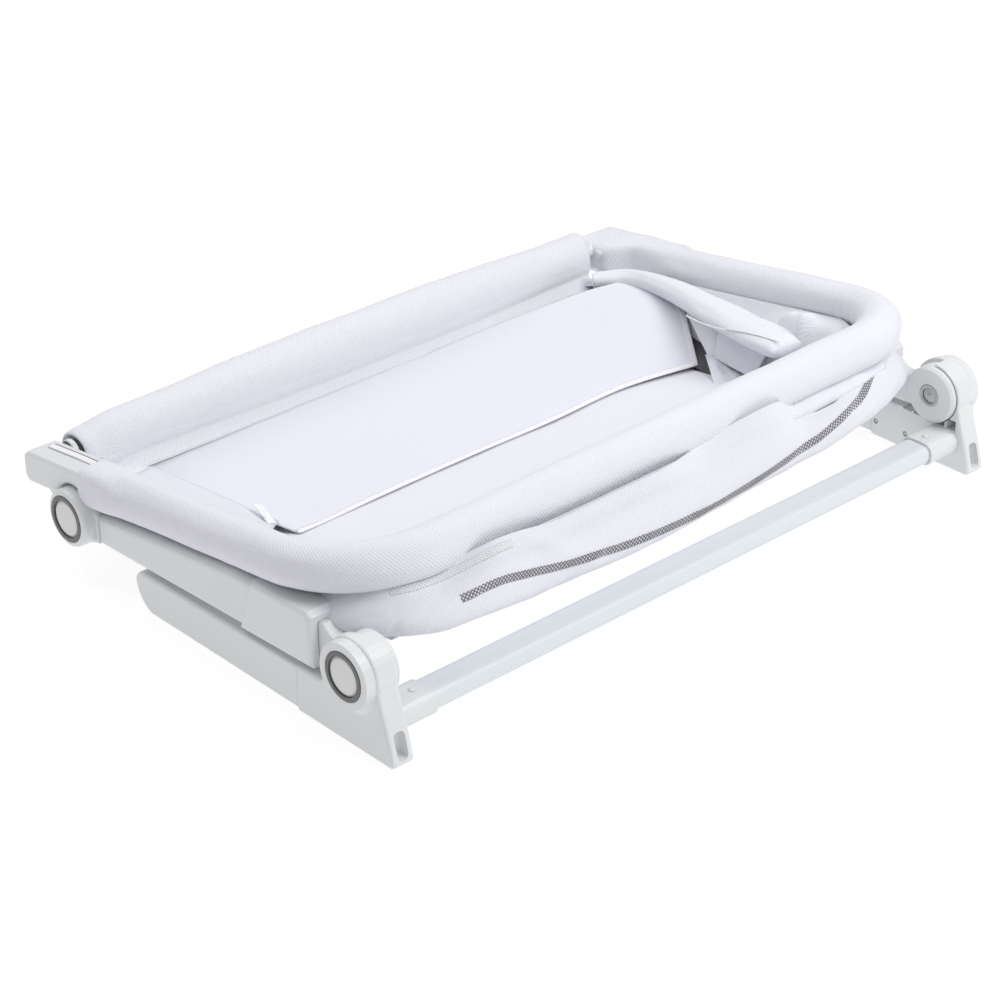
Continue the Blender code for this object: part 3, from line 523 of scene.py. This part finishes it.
def rail_cover():
    """The padded cover of the U-rail, with the small folds inside its front corners."""
    path = rail_line(0.0055)
    total = lengths_along(path)[-1]

    def offset(i, s, angle):
        """A round section that turns boxy over the brackets."""
        p = path[i]
        left = p.x < 0
        end = s if left else total - s
        boxy, round_from = LEFT_BOXY if left else RIGHT_BOXY
        over = smooth(-end, -round_from, -boxy)
        tip = mix(COVER_TIP, 1.0, math.sqrt(smooth(end, 0.0, 0.010)))
        wide = R_COVER + 0.0018 * smooth(-p.y, 0.130, 0.205)
        c, v = math.cos(angle), math.sin(angle)
        power = mix(1.0, 0.55 if left else 0.45, over)
        a, b = squared(c, power), squared(v, power)
        tall = wide
        wide = mix(wide, BOXY_HALF, over)
        if b > 0:
            bare = value_at(BRACKET_TOP, p.y) - p.z
            tall = mix(tall, LEFT_ABOVE if left else bare + ON_BRACKET, over)
        elif left:
            tall = mix(tall, LEFT_BELOW, over)
        else:
            tall = mix(tall, mix(*RIGHT_BELOW, smooth(a, -0.5, 0.9)), over)
        bend = smooth(abs(p.x), 0.325, 0.36) * smooth(-p.y, 0.100, 0.135)
        inner = smooth(-a, 0.0, 1.0)
        folds = 0.0011 * bend * inner * math.sin(s * math.tau / COVER_FOLD + 2 * v)
        lumps = 0.0017 * noise.noise(Vector((s * 9, 1.6 * c, 1.6 * v)))
        lumps += 0.0005 * noise.noise(Vector((s * 60, 5 * c, 5 * v)))
        grow = tip + (folds + lumps * (1 - over)) / wide
        shift = mix(0.0, 0.0035, over)
        corner = 0.0 if left else smooth(p.y, 0.222, 0.262)
        if a < 0:
            reach = U_RAIL_X - CORNER_IN + shift
            wide = mix(wide, reach, corner)
            tall = mix(tall, bare + ON_CORNER if b > 0 else UNDER_CORNER,
                       corner * smooth(-a, 0.3, 0.9))
        return a * wide * grow + shift, b * tall * grow

    cover = swept("rail_cover_padding", path, offset, 36, "rail_fabric")
    return subdivided(puffed(cover, 2.0, 0.0016))


# ------------------------------------------------------------------ back rail cover
COVER_Y, COVER_Z = 0.2890, 0.1035       # the back cover hangs a little below its rail
COVER_X = (-0.400, 0.381)               # its body, between its mouth and its closed end
COVER_MOUTH = [(-0.374, 0.0190), (-0.396, 0.0208), (-0.4080, 0.0228), (-0.4120, 0.0250),
               (-0.4108, 0.0276), (-0.4055, 0.0292)]
COVER_TAIL = [(0.3860, 0.0290), (0.3887, 0.0225), (0.3897, 0.0120), (0.3900, 0.0020)]
BACK_RADIUS = 0.0378                    # of the cover's middle; it thins to its ends
COVER_DROOP = 0.0045                    # of its left end
FLAP_X, FLAP_TURN = (-0.398, 0.366), (132, 198)     # degrees round the cover
FLAP_FREE = 0.6                         # from this share on, the flap hangs free
FLAP_HEM = (0.2410, 0.0808)


def back_radius(x):
    thin = 1 - 0.17 * smooth(abs(x), 0.10, 0.38)
    return BACK_RADIUS * thin + 0.0011 * noise.noise(Vector((x * 11, 4, 2)))


def turned_along_x(name, stations, around, finish, ripple, centre):
    """A round cover along X: stations are (x, radius), and may turn back inside its mouth;
    its middle is at centre, (y, z)."""
    rows, lengths = [], [0.0]
    for (x0, r0), (x1, r1) in zip(stations, stations[1:]):
        lengths.append(lengths[-1] + math.hypot(x1 - x0, r1 - r0))
    for x, r in stations:
        row = []
        for j in range(around):
            angle = math.tau * j / around
            c, v = math.cos(angle), math.sin(angle)
            out = r + ripple * (noise.noise(Vector((x * 12, 2 * c, 2 * v)))
                                + 0.4 * noise.noise(Vector((x * 45, 5 * c, 5 * v))))
            row.append(Vector((x, centre[0] + out * c, centre[1] + out * v)))
        rows.append(row)
    girth = math.tau * max(r for _, r in stations)
    return grid_object(name, rows, finish, lambda i, j: (lengths[i], girth * j / around),
                       closed=True, capped=True)


def back_cover():
    """The padded cover of the back rail, open at its left end round the rail's plug."""
    count = 140
    xs = [mix(*COVER_X, i / count) for i in range(count + 1)]
    body = [(x, mix(0.0300, back_radius(x), smooth(x, -0.402, -0.370))) for x in xs]
    cover = turned_along_x("back_cover_padding", COVER_MOUTH + body + COVER_TAIL, 44,
                           "rail_fabric", 0.0011, (COVER_Y, COVER_Z))
    for v in cover.data.vertices:
        ahead = max(0.0, (COVER_Y - v.co.y) / BACK_RADIUS)
        v.co.x -= 0.018 * ahead * smooth(v.co.x, 0.320, 0.388)
        v.co.z -= COVER_DROOP * smooth(-v.co.x, 0.345, 0.400)
    return subdivided(puffed(cover, 2.0, 0.0014))


def flap_point(u, v):
    """The cover's loose lower edge, hanging over the panel's top."""
    x = mix(*FLAP_X, u)
    r = back_radius(x) + mix(-0.0022, 0.0012, smooth(v, 0.15, 0.55))
    fold = math.radians(mix(*FLAP_TURN, min(v, FLAP_FREE) / FLAP_FREE))
    top = Vector((x, COVER_Y + r * math.cos(fold),
                  COVER_Z + r * math.sin(fold) - 0.0055 * smooth(-x, 0.345, 0.400)))
    if v < FLAP_FREE:
        return top
    wave = 0.0013 * noise.noise(Vector((x * 22, 0, 6)))
    hem = Vector((x - 0.004 * smooth(x, 0.30, 0.37), FLAP_HEM[0] + wave,
                  FLAP_HEM[1] + 0.3 * wave))
    down = (v - FLAP_FREE) / (1 - FLAP_FREE)
    return top.lerp(hem, 0.5 * smooth(down) + 0.5 * down)


def back_flap():
    return cloth_surface("back_cover_flap", flap_point, 150, 26, (0.76, 0.062),
                         "rail_fabric", 0.0014, 1.0)


def ring_along_x(name, profile, centre, around, finish):
    """An open ring: profile is (x, radius), centre is (y, z)."""
    y, z = centre
    rows = [[Vector((x, y + r * math.cos(math.tau * j / around),
                     z + r * math.sin(math.tau * j / around))) for j in range(around)]
            for x, r in profile]
    return grid_object(name, rows, finish, lambda i, j: (i * MM, j * MM), closed=True)


FERRULE = [(-0.4198, 0.0137), (-0.4192, 0.0147), (-0.4150, 0.0149), (-0.4138, 0.0146),
           (-0.4134, 0.0137)]


def ferrule():
    """The white ring where the back rail's plug leaves the left bracket."""
    return thickened(ring_along_x("left_rail_ferrule", FERRULE, (BACK_Y, BACK_Z), 40,
                                  "shell_plastic"), 0.0008)


STRAP_LINE = [(-0.4370, 0.2960, 0.1186), (-0.4368, 0.2780, 0.1208), (-0.4365, 0.2580, 0.1232),
              (-0.4362, 0.2380, 0.1256), (-0.4366, 0.2060, 0.1292)]


def bracket_strap():
    """The cover's tab, running back over the left bracket into its slot; beside it runs a thin dark
    strip, a painted shadow of the gap at its edge.
    """
    def section(half, high, shift):
        def offset(i, s, angle):
            c, v = math.cos(angle), math.sin(angle)
            return shift + squared(c, 0.5) * half, squared(v, 0.5) * high
        return offset

    path = resampled(traced(STRAP_LINE, 30), 0.003)
    tab = swept("cover_tab", path, section(0.0043, 0.0011, 0.0), 16, "piping")
    # a thin dark strip along the tab's edge: painted shadow of the gap beside it
    slot = swept("tab_edge_painted_shadow", path, section(0.0007, 0.0004, -0.0056), 10, "plug_plastic")
    return tab, slot


# ------------------------------------------------------------------ tub
PANEL_TOP = [(-0.372, 0.2460, 0.0775), (-0.205, 0.2455, 0.0805), (-0.058, 0.2445, 0.0812),
             (0.090, 0.2430, 0.0825), (0.240, 0.2380, 0.0860), (0.389, 0.2040, 0.0975)]
PANEL_LOW = [(-0.276, 0.0600, 0.0424), (-0.140, 0.0635, 0.0423), (-0.010, 0.0655, 0.0420),
             (0.115, 0.0645, 0.0422), (0.240, 0.0680, 0.0428), (0.345, 0.0430, 0.0482)]
PANEL_LEFT = [(-0.372, 0.2460, 0.0775), (-0.340, 0.1850, 0.0660), (-0.307, 0.1220, 0.0560),
              (-0.276, 0.0600, 0.0424)]
PANEL_RIGHT = [(0.389, 0.2040, 0.0975), (0.398, 0.1500, 0.0930), (0.393, 0.1150, 0.0830),
               (0.369, 0.0790, 0.0680), (0.345, 0.0430, 0.0482)]


def panel_point(u, v):
    """The smooth inner back wall, folded down over the mattress: a patch between four edges."""
    top, low = along(PANEL_TOP, u), along(PANEL_LOW, u)
    left, right = along(PANEL_LEFT, v), along(PANEL_RIGHT, v)
    corners = (Vector(PANEL_TOP[0]).lerp(Vector(PANEL_TOP[-1]), u)
               .lerp(Vector(PANEL_LOW[0]).lerp(Vector(PANEL_LOW[-1]), u), v))
    p = top.lerp(low, v) + left.lerp(right, u) - corners
    middle = math.sin(math.pi * v) * math.sin(math.pi * u)
    sag = 0.0045 - 0.0022 * noise.noise(Vector((u * 5, v * 2.5, 1.7)))
    under_flap = 0.0035 * bump_at(v, 0.14, 0.10) * smooth(0.9 - u, 0, 0.2)
    right_crease = 0.0050 * bump_at(u, 0.90, 0.055) * bump_at(v, 0.30, 0.35)
    left_corner = 0.0030 * bump_at(u, 0.08, 0.06) * bump_at(v, 0.90, 0.12)
    p.z += right_crease - sag * middle - under_flap - left_corner
    return p


def back_panel():
    return cloth_surface("back_panel_lining", panel_point, 110, 46, (0.72, 0.185), "panel_fabric")


BAG_PLAN = [(x, y, 0) for x, y in (
    (-0.408, -0.060), (-0.409, -0.130), (-0.404, -0.185), (-0.384, -0.219), (-0.345, -0.235),
    (-0.220, -0.237), (-0.070, -0.237), (0.080, -0.237), (0.210, -0.237), (0.300, -0.235),
    (0.360, -0.222), (0.400, -0.192), (0.412, -0.135), (0.410, -0.060))]
BAG_LOW = [(-0.410, 0.0960), (-0.388, 0.0955), (-0.335, 0.0900), (-0.200, 0.0775),
           (-0.080, 0.0745), (0.050, 0.0775), (0.140, 0.0810), (0.208, 0.0875), (0.280, 0.0960),
           (0.343, 0.0970), (0.400, 0.1000)]    # the bag's lowest line, (x, z)
SLIT = (0.196, 0.335)                   # where the bag's top gapes below the rail's cover
# The bag's three highest points, out from its plan line and up from the rail's centre.
SUNK = [(0.0228, 0.0), (0.0272, -0.0135), (0.0280, -0.0295)]
PULLED = [(0.0215, 0.0070), (0.0285, -0.0080), (0.0315, -0.0260)]
GAPING = [(0.0165, -0.0355), (0.0235, -0.0385), (0.0285, -0.0440)]
SEWN_BELOW = 0.0215                     # the rail's centre
BAG_SIDE = [(0.3, 0.16), (0.70, 0.36), (0.96, 0.62), (0.88, 0.88)]   # shares of swell and depth


def bag_point(u, v):
    """The front wall hanging as a bag below the front rail: u runs left to right, v from the
    rail down and back in under the mattress."""
    plan = along(BAG_PLAN, u)
    way = (along(BAG_PLAN, u + 0.004) - along(BAG_PLAN, u - 0.004)).normalized()
    out = Vector((way.y, -way.x, 0))
    rail = rail_height(plan.x, plan.y)
    low = value_at(BAG_LOW, plan.x)
    ends = smooth(-plan.y, 0.10, 0.19)
    swell = mix(0.008, 0.035 - 0.003 * smooth(plan.x, 0.25, 0.40), ends)
    top = rail - SEWN_BELOW
    pulled = smooth(plan.x, 0.010, 0.140) * (1 - smooth(plan.x, SLIT[0] - 0.058, SLIT[0] + 0.010))
    gape = smooth(plan.x, SLIT[0] - 0.014, SLIT[0] + 0.028) * (1 - smooth(plan.x, 0.25, SLIT[1]))
    sunk = smooth(plan.x, -0.345, -0.270) * (1 - smooth(plan.x, -0.05, 0.10))
    lift = mix(0.0025, -0.0095, smooth(plan.x, -0.275, -0.175))
    profile = [(-0.004, top + 0.004)]
    profile += [(share * swell, mix(top, low, depth)) for share, depth in BAG_SIDE]
    profile += [(0.35 * swell, low - 0.003), (-0.030, low - 0.008),
                (-0.058, mattress_top(plan.y) - 0.020)]
    for weight, shape, base in ((sunk, SUNK, rail + lift), (pulled, PULLED, rail),
                                (gape, GAPING, rail)):
        profile[:3] = [(mix(a, aside, weight), mix(b, base + up, weight))
                       for (a, b), (aside, up) in zip(profile, shape)]
    aside, height = along_flat(profile, v)
    p = plan + out * aside
    p.z = height
    inside = math.sin(math.pi * v)
    waves = 0.0016 * math.sin(u * 38 + 3 * v) * inside ** 0.7
    lumps = 0.0034 * noise.noise(Vector((u * 13, v * 2.2, 4.0))) * inside
    wrinkles = 0.0012 * noise.noise(Vector((u * 60 + v * 9, v * 7, 9.0))) * inside
    crease = 0.0035 * bump_at(u - 0.10 * v, 0.372, 0.010) * smooth(0.75 - v, 0, 0.5) * inside
    return p + out * (waves + lumps + wrinkles + crease)


RIBBON = [(0.323, 0.325), (0.385, 0.375), (0.450, 0.465), (0.520, 0.500), (0.585, 0.445),
          (0.632, 0.370), (0.676, 0.250), (0.727, 0.140)]        # u and v on the bag
RIBBON_WIDTH, EYELET_WIDTH, TAPE_WIDTH = 0.0088, 0.0085, 0.0070
THREAD = 0.00045                        # a stitch's radius


def front_bag():
    return cloth_surface("front_wall_cloth", bag_point, 230, 44, (1.02, 0.19), "tub_fabric")


# Across the slit's inner layer: out from the bag's plan line, and up from the rail's centre.
LINING_FOLD = [(-0.012, -0.018), (0.0120, -0.0270), (0.0155, -0.0325), (0.0120, -0.0410),
               (0.0140, -0.0560)]


def slit_lining():
    """The bag's inner layer, folded once, seen where the outer one gapes."""
    front = [(x, y) for x, y, _ in BAG_PLAN if x > 0.05 and y < -0.18]

    def point(u, v):
        x = mix(SLIT[0] - 0.030, SLIT[1] + 0.030, u)
        y = value_at(front, x)
        rail = rail_height(x, y)
        out, z = along_flat(LINING_FOLD, v)
        wave = 0.0022 * noise.noise(Vector((u * 5, v * 2, 3.0)))
        return Vector((x, y - out - wave, rail + z + wave))

    return cloth_surface("slit_lining", point, 70, 24, (0.20, 0.07), "tub_fabric")


def ribbon_on(name, surface, line, width, finish, lift, facing, steps, thickness=0.0006):
    """A ribbon sewn on a surface(u, v), along line(t) = (u, v) there."""
    across = 4

    def outward(u, v):
        du = surface(min(1.0, u + 0.003), v) - surface(max(0.0, u - 0.003), v)
        dv = surface(u, min(1.0, v + 0.01)) - surface(u, max(0.0, v - 0.01))
        out = du.cross(dv).normalized()
        return out if out.dot(Vector(facing)) > 0 else -out

    rows = []
    for i in range(steps + 1):
        t = i / steps
        u, v = line(t)
        out = outward(u, v)
        way = surface(*line(min(1.0, t + 0.004))) - surface(*line(max(0.0, t - 0.004)))
        side = way.normalized().cross(out).normalized()
        p = surface(u, v)
        rows.append([p + side * width * (j / across - 0.5) + out * lift for j in range(across + 1)])
    lengths = lengths_along([row[0] for row in rows])
    obj = grid_object(name, rows, finish, lambda i, j: (lengths[i], width * j / across))
    return thickened(obj, thickness)


def stitches_on(name, surface, line, pitch, finish, lift, facing):
    """A row of short threads along line(t) on a surface."""
    fine = [surface(*line(i / 400)) for i in range(401)]
    points = resampled(fine, pitch)
    bm = bmesh.new()
    up = Vector(facing).normalized()
    for a, b in zip(points, points[1:]):
        way = (b - a).normalized()
        middle = a.lerp(b, 0.5) + up * lift
        turn = way.to_track_quat("X", "Z").to_matrix().to_4x4()
        shape = Matrix.Diagonal((pitch * 0.34, THREAD, THREAD * 0.8, 1))
        bmesh.ops.create_icosphere(bm, subdivisions=1, radius=1,
                                   matrix=Matrix.Translation(middle) @ turn @ shape)
    for face in bm.faces:
        face.smooth = True
    obj = object_from(bm, name, finish)
    obj.data.uv_layers.new(name="UVMap")
    return obj


def ridged(x, y, z):
    """Creased ridges, from 0 to 1, as cloth makes when it is pushed together."""
    return (1 - min(1.0, abs(2.2 * noise.noise(Vector((x, y, z)))))) ** 2


WALL_Y, WALL_TOP_X, WALL_LOW_X = (0.168, -0.172), 0.4135, 0.3560


def end_wall(tag, side):
    """The end wall's cloth, crumpled between the end rail and the mattress."""
    def point(u, v):
        y = mix(*WALL_Y, u)
        top = Vector((side * (WALL_TOP_X - 0.022 * smooth(-y, 0.120, 0.172)), y,
                      rail_height(side * 0.41, y) - 0.010))
        low = Vector((side * WALL_LOW_X, y, mattress_top(y) - 0.0055))
        p = top.lerp(low, v)
        slack = math.sin(math.pi * v) ** 0.8
        p.z -= 0.010 * slack
        p.x -= side * slack * (0.004 + 0.005 * noise.noise(Vector((u * 6, v * 2, side * 3.0))))
        if side > 0:
            heap = smooth(-y, 0.010, 0.040)
            crest = math.sin(math.pi * min(1.0, v * 1.6)) ** 1.2
            ridges = ridged(u * 7.5, v * 1.3, 6.4)
            peak = bump_at(y, -0.080, 0.026) + 0.7 * bump_at(y, -0.128, 0.020)
            p.z += heap * crest * (0.008 + 0.012 * ridges + 0.022 * peak)
            p.x -= heap * crest * (0.004 * ridges + 0.006 * peak)
        else:
            p.z += slack * 0.006 * ridged(u * 5 + 5, v * 1.5, 2.0)
        return p

    return cloth_surface(f"{tag}_wall_cloth", point, 96, 34, (0.34, 0.09), "tub_fabric")


ROLL_HALF, ROLL_HIGH = (0.0115, 0.0300), (0.0105, 0.0125)   # from its back to its front end
HEM_RADIUS, HEM_HALF, HEM_HIGH = 0.0009, 0.0308, 0.0150     # its cord, and its way round
ROLL_LINE = [(0.354, 0.2380, 0.094), (0.383, 0.2080, 0.099), (0.391, 0.1650, 0.104),
             (0.388, 0.1100, 0.107), (0.378, 0.0400, 0.109), (0.368, -0.0250, 0.1115),
             (0.361, -0.0960, 0.1145)]


def end_roll():
    """The right end's inner wall, folded over on itself into a flat soft roll."""
    path = traced(ROLL_LINE, 60)
    total = lengths_along(path)[-1]

    def offset(i, s, angle):
        t = s / total
        tip = math.sqrt(max(0.0, 1 - smooth(t, 0.95, 1.0) ** 2))
        half = mix(*ROLL_HALF, smooth(t, 0.05, 0.85)) * mix(0.90, 1.0, tip)
        high = mix(*ROLL_HIGH, smooth(t, 0.0, 0.6)) * mix(0.30, 1.0, tip)
        c, v = math.cos(angle), math.sin(angle)
        dent = 1 - 0.12 * bump_at(angle, 1.9, 0.5) * smooth(t, 0.3, 0.7)
        soft = 1 + 0.05 * noise.noise(Vector((t * 7, c * 1.5, v * 1.5)))
        return squared(c, 0.85) * half * soft, squared(v, 0.9) * high * dent * soft

    roll = swept("end_roll_padding", path, offset, 32, "tub_fabric")
    return subdivided(puffed(roll, 1.6, 0.0014))


def roll_hem():
    """The hem of the roll's loose edge, climbing over its front end."""
    path = traced(ROLL_LINE, 60)
    sides = frames_along(path)
    points, count = [], 24
    for k in range(count + 1):
        i = round(mix(36, 59, k / count))
        side, up = sides[i]
        angle = math.radians(mix(-22, 56, smooth(k / count)))
        points.append(path[i] + side * HEM_HALF * math.cos(angle)
                      + up * HEM_HIGH * math.sin(angle))
    return swept("roll_hem", resampled(traced(points, 60), 0.002),
                 lambda i, s, angle: (HEM_RADIUS * math.cos(angle), HEM_RADIUS * math.sin(angle)),
                 10, "piping")


def patch_between(name, corners, sag, size, finish, seed):
    """A slack cloth patch between four corners, given in order round it."""
    a, b, c, d = (Vector(p) for p in corners)

    def point(u, v):
        p = a.lerp(b, u).lerp(d.lerp(c, u), v)
        loose = math.sin(math.pi * u) * math.sin(math.pi * v)
        p.z += loose * (sag + 0.005 * noise.noise(Vector((u * 3 + seed, v * 3, seed))))
        return p

    return cloth_surface(name, point, 34, 22, size, finish, 0.0012)


BACK_WALL_LINE = [(0, 0.262, 0.0795), (0, 0.240, 0.0600), (0, 0.200, 0.0430), (0, 0.165, 0.0190)]


def back_wall():
    """The outer back wall's cloth, hanging below the back rail and in under the mattress."""
    def point(u, v):
        p = along(BACK_WALL_LINE, v)
        slack = math.sin(math.pi * v)
        p.x = mix(-0.372, 0.372, u)
        p.y += slack * 0.003 * math.sin(u * 60 + 4 * v)
        p.z -= slack * (0.004 + 0.004 * noise.noise(Vector((u * 14, v * 2, 12.0))))
        return p

    return cloth_surface("back_wall_cloth", point, 150, 20, (0.75, 0.125), "tub_fabric")


PAD_RIM, PAD_CROWN, PAD_DEEP = 0.020, 0.0045, 0.0132


def mattress():
    """The thin pad: crowned, a little uneven, with a rounded rim."""
    x1, (y0, y1) = MATTRESS_X - 0.004, MATTRESS_Y
    nx, ny = 120, 60

    def height(x, y):
        inward = min(x1 - abs(x), y - y0, y1 - y)
        return smooth(inward, 0, PAD_RIM) * (PAD_CROWN + 0.0012 * noise.noise(
            Vector((x * 11, y * 11, 0))))

    rows = []
    for i in range(nx + 1):
        x = mix(-x1, x1, i / nx)
        upper = [(x, y, mattress_top(y) - PAD_CROWN + height(x, y))
                 for y in (mix(y0, y1, j / ny) for j in range(ny + 1))]
        lower = [(x, y, mattress_top(y) - PAD_DEEP + 0.001 * height(x, y))
                 for y in (mix(y1, y0, j / ny) for j in range(ny + 1))]
        rows.append([Vector(p) for p in upper + lower])
    return grid_object("mattress_padding", rows, "mattress_fabric",
                       lambda i, j: (2 * x1 * i / nx, (y1 - y0) * j / ny), closed=True,
                       capped=True)


FLOOR_DEEP = 0.0188                     # below the mattress's top


def floor_sheet():
    """The tub's floor cloth, under the board."""
    def point(u, v):
        x = mix(-MATTRESS_X, MATTRESS_X, u)
        y = mix(MATTRESS_Y[0] + 0.001, MATTRESS_Y[1] - 0.001, v)
        uneven = 0.0006 * noise.noise(Vector((u * 9, v * 6, 8)))
        return Vector((x, y, mattress_top(y) - FLOOR_DEEP + uneven))

    return cloth_surface("floor_cloth", point, 70, 36, (0.72, 0.36), "floor_fabric")


def between(piece):
    """Bakes a tub cloth's transform into its mesh."""
    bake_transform(piece)


def edge_tape(name, surface, line, lift, facing, steps):
    """A white binding tape sewn along an edge."""
    tape = ribbon_on(name, surface, line, TAPE_WIDTH, "piping", lift, facing, steps, 0.0009)
    return tape


def carried(piece, body):
    """Lets a piece move with one body."""
    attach(piece, body)


def build_rails():
    cover = rail_cover()
    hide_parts("u_rail_cover")
    back, flap = back_cover(), back_flap()
    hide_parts("back_rail_cover")
    seam = stitches_on("back_cover_flap_seam", flap_point, lambda t: (t, 0.945), 0.0034, "piping",
                       0.0014, (0, -0.6, 0.8))
    carried(ferrule(), "basket")
    for piece in (cover, back, flap, seam, *bracket_strap()):
        carried(piece, "basket")


def build_panel():
    panel = back_panel()
    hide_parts("tub_back_panel")
    between(panel)
    up = (0, 0, 1)
    trims = [edge_tape("back_panel_tape", panel_point, lambda t: (t, 0.982), 0.0012, up, 120),
             edge_tape("back_panel_end_tape", panel_point, lambda t: (0.992, t), 0.0014, up, 60)]
    for name, line in (("back_panel_seam", lambda t: (t, 0.962)),
                       ("back_panel_end_seam", lambda t: (0.985, t))):
        seam = stitches_on(name, panel_point, line, 0.0036, "piping", 0.0021, up)
        trims.append(seam)
    for trim in trims:
        between(trim)


def build_bag():
    bag = front_bag()
    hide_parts("tub_front_wall")
    between(bag)
    ahead = (0, -1, 0.3)
    strip = ribbon_on("grey_mesh_ribbon", bag_point, lambda t: along_flat(RIBBON, t),
                      RIBBON_WIDTH, "grey_mesh", 0.0012, ahead, 240)
    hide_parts("front_mesh_strip")
    eyelets = ribbon_on("eyelet_band", bag_point, lambda t: (mix(0.235, 0.365, t), 0.100),
                        EYELET_WIDTH, "eyelet_mesh", 0.0010, ahead, 90)
    lining = slit_lining()
    for piece in (strip, eyelets, lining):
        between(piece)


# The small cloths at the two ends: name, corners, sag, flat size, finish.
PATCHES = (
    ("end_lining", [(0.345, 0.150, 0.050), (0.400, 0.152, 0.078), (0.394, 0.020, 0.064),
                    (0.340, -0.004, 0.0445)], 0.0, (0.06, 0.15), "grey_lining"),
    ("end_fold", [(0.384, 0.099, 0.086), (0.399, 0.120, 0.104), (0.392, -0.070, 0.102),
                  (0.354, 0.032, 0.060)], 0.006, (0.04, 0.13), "tub_fabric"),
    ("end_gusset", [(0.350, 0.034, 0.0640), (0.374, 0.012, 0.0590), (0.354, -0.040, 0.0500),
                    (0.318, -0.012, 0.0495)], 0.002, (0.035, 0.055), "tub_fabric"),
    ("end_net", [(0.354, 0.022, 0.062), (0.368, 0.028, 0.106), (0.368, -0.058, 0.105),
                 (0.350, -0.046, 0.060)], 0.005, (0.055, 0.085), "fine_net"),
    ("left_net", [(-0.411, 0.190, 0.110), (-0.346, 0.235, 0.083), (-0.284, 0.086, 0.0500),
                  (-0.404, -0.040, 0.120)], -0.006, (0.150, 0.22), "fine_net"),
    ("left_rear_lining", [(-0.416, 0.186, 0.112), (-0.418, 0.270, 0.098), (-0.370, 0.258, 0.078),
                          (-0.342, 0.236, 0.081)], 0.002, (0.08, 0.065), "tub_fabric"),
    ("right_rear_lining", [(0.376, 0.200, 0.0960), (0.350, 0.246, 0.0850),
                           (0.396, 0.268, 0.0880), (0.402, 0.206, 0.0900)],
     -0.001, (0.050, 0.050), "tub_fabric"),
    ("left_corner_tape", [(-0.3015, 0.108, 0.0690), (-0.2925, 0.106, 0.0675),
                          (-0.3060, 0.062, 0.0655), (-0.3155, 0.064, 0.0680)],
     0.0005, (0.010, 0.046), "piping"),
)


REAR_CORNER = [(0.4125, 0.1640, 0.1010), (0.3740, 0.2600, 0.0790), (0.3700, 0.1640, 0.0180),
               (0.3555, 0.1640, 0.0230)]


def build_ends():
    for tag, side in SIDES.items():
        wall = end_wall(tag, side)
        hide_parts(f"tub_{tag}_wall")
        between(wall)
        corner = patch_between(f"{tag}_rear_corner", [(side * x, y, z) for x, y, z in REAR_CORNER],
                               -0.003, (0.10, 0.055), "tub_fabric", side + 4)
        between(corner)
    roll = end_roll()
    for piece in (roll, roll_hem()):
        carried(piece, "basket")

    for name, corners, sag, flat, finish in PATCHES:
        patch = patch_between(name, corners, sag, flat, finish, len(name))
        between(patch)

    wall = back_wall()
    between(wall)


# Each point's depth behind the axle's end face, and its radius.
WASHER = [(0.0009, 0.0096), (-0.0001, 0.0100), (-0.0001, 0.0136), (0.0003, 0.0142),
          (0.0009, 0.0143), (0.0009, 0.0096)]


def hub_washer(tag, side):
    """The steel washer round the axle's inboard head."""
    low, high = (Vector(corner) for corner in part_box(f"{tag}_lower_axle"))
    middle = (low + high) / 2
    face = (low if side > 0 else high).x
    profile = [(face + side * depth, r) for depth, r in WASHER]
    return ring_along_x(f"{tag}_hub_washer", profile, (middle.y, middle.z), 48, "hub_steel")


def build_hubs():
    for tag, side in SIDES.items():
        carried(hub_washer(tag, side), f"{tag}_leg")


def build_bed():
    pad = mattress()
    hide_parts("mattress")
    carried(pad, "mattress_base")
    floor = floor_sheet()
    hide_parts("tub_floor")
    carried(floor, "mattress_base")


# ------------------------------------------------------------------ stage and camera
FLOOR_HALF, FLOOR_GAP = 40, 0.0005       # the gap keeps the floor clear of the feet
AIM = Vector((0, 0, 0.1))
LAMPS = (("key", (0.8, -1.6, 2.3), 1.8, 52), ("back", (-0.3, 1.4, 2.3), 2.2, 30))  # size, power
EYE, EYE_DOWN, EYE_RIGHT, LENS = (-1.9156, -2.0391, 1.5617), 29.1, 42.8, 99.1


def set_stage():
    """A pale floor that glows a little, a pale sky and two soft lamps."""
    _, shader = new_material("studio_paper", 0.95, Emission_Strength=0.80)
    shader.inputs["Base Color"].default_value = (0.30, 0.30, 0.30, 1)
    shader.inputs["Emission Color"].default_value = (1, 1, 1, 1)
    shader.inputs["Specular IOR Level"].default_value = 0.0
    bm = bmesh.new()
    bmesh.ops.create_grid(bm, x_segments=1, y_segments=1, size=FLOOR_HALF)
    floor = object_from(bm, "floor", "studio_paper")
    floor.location.z = -FLOOR_GAP

    world = bpy.data.worlds.new("studio")
    world.use_nodes = True
    sky = world.node_tree.nodes["Background"]
    sky.inputs["Color"].default_value = (0.985, 0.99, 1.0, 1)
    sky.inputs["Strength"].default_value = 0.40
    bpy.context.scene.world = world
    for name, spot, size, power in LAMPS:
        light = bpy.data.lights.new(name, "AREA")
        light.size = size
        light.energy = power
        lamp = linked(name, light)
        lamp.location = spot
        lamp.rotation_euler = (AIM - Vector(spot)).to_track_quat("-Z", "Y").to_euler()


def set_camera():
    camera = bpy.data.cameras.new("camera")
    camera.sensor_width = 36
    camera.lens = LENS
    eye = linked("camera", camera)
    eye.location = EYE
    eye.rotation_euler = (math.radians(90 - EYE_DOWN), 0, math.radians(-EYE_RIGHT))
    bpy.context.scene.camera = eye


build_rails()
build_panel()
build_bag()
build_ends()
build_bed()
build_hubs()
set_stage()
set_camera()
bpy.context.scene.view_settings.view_transform = "Standard"
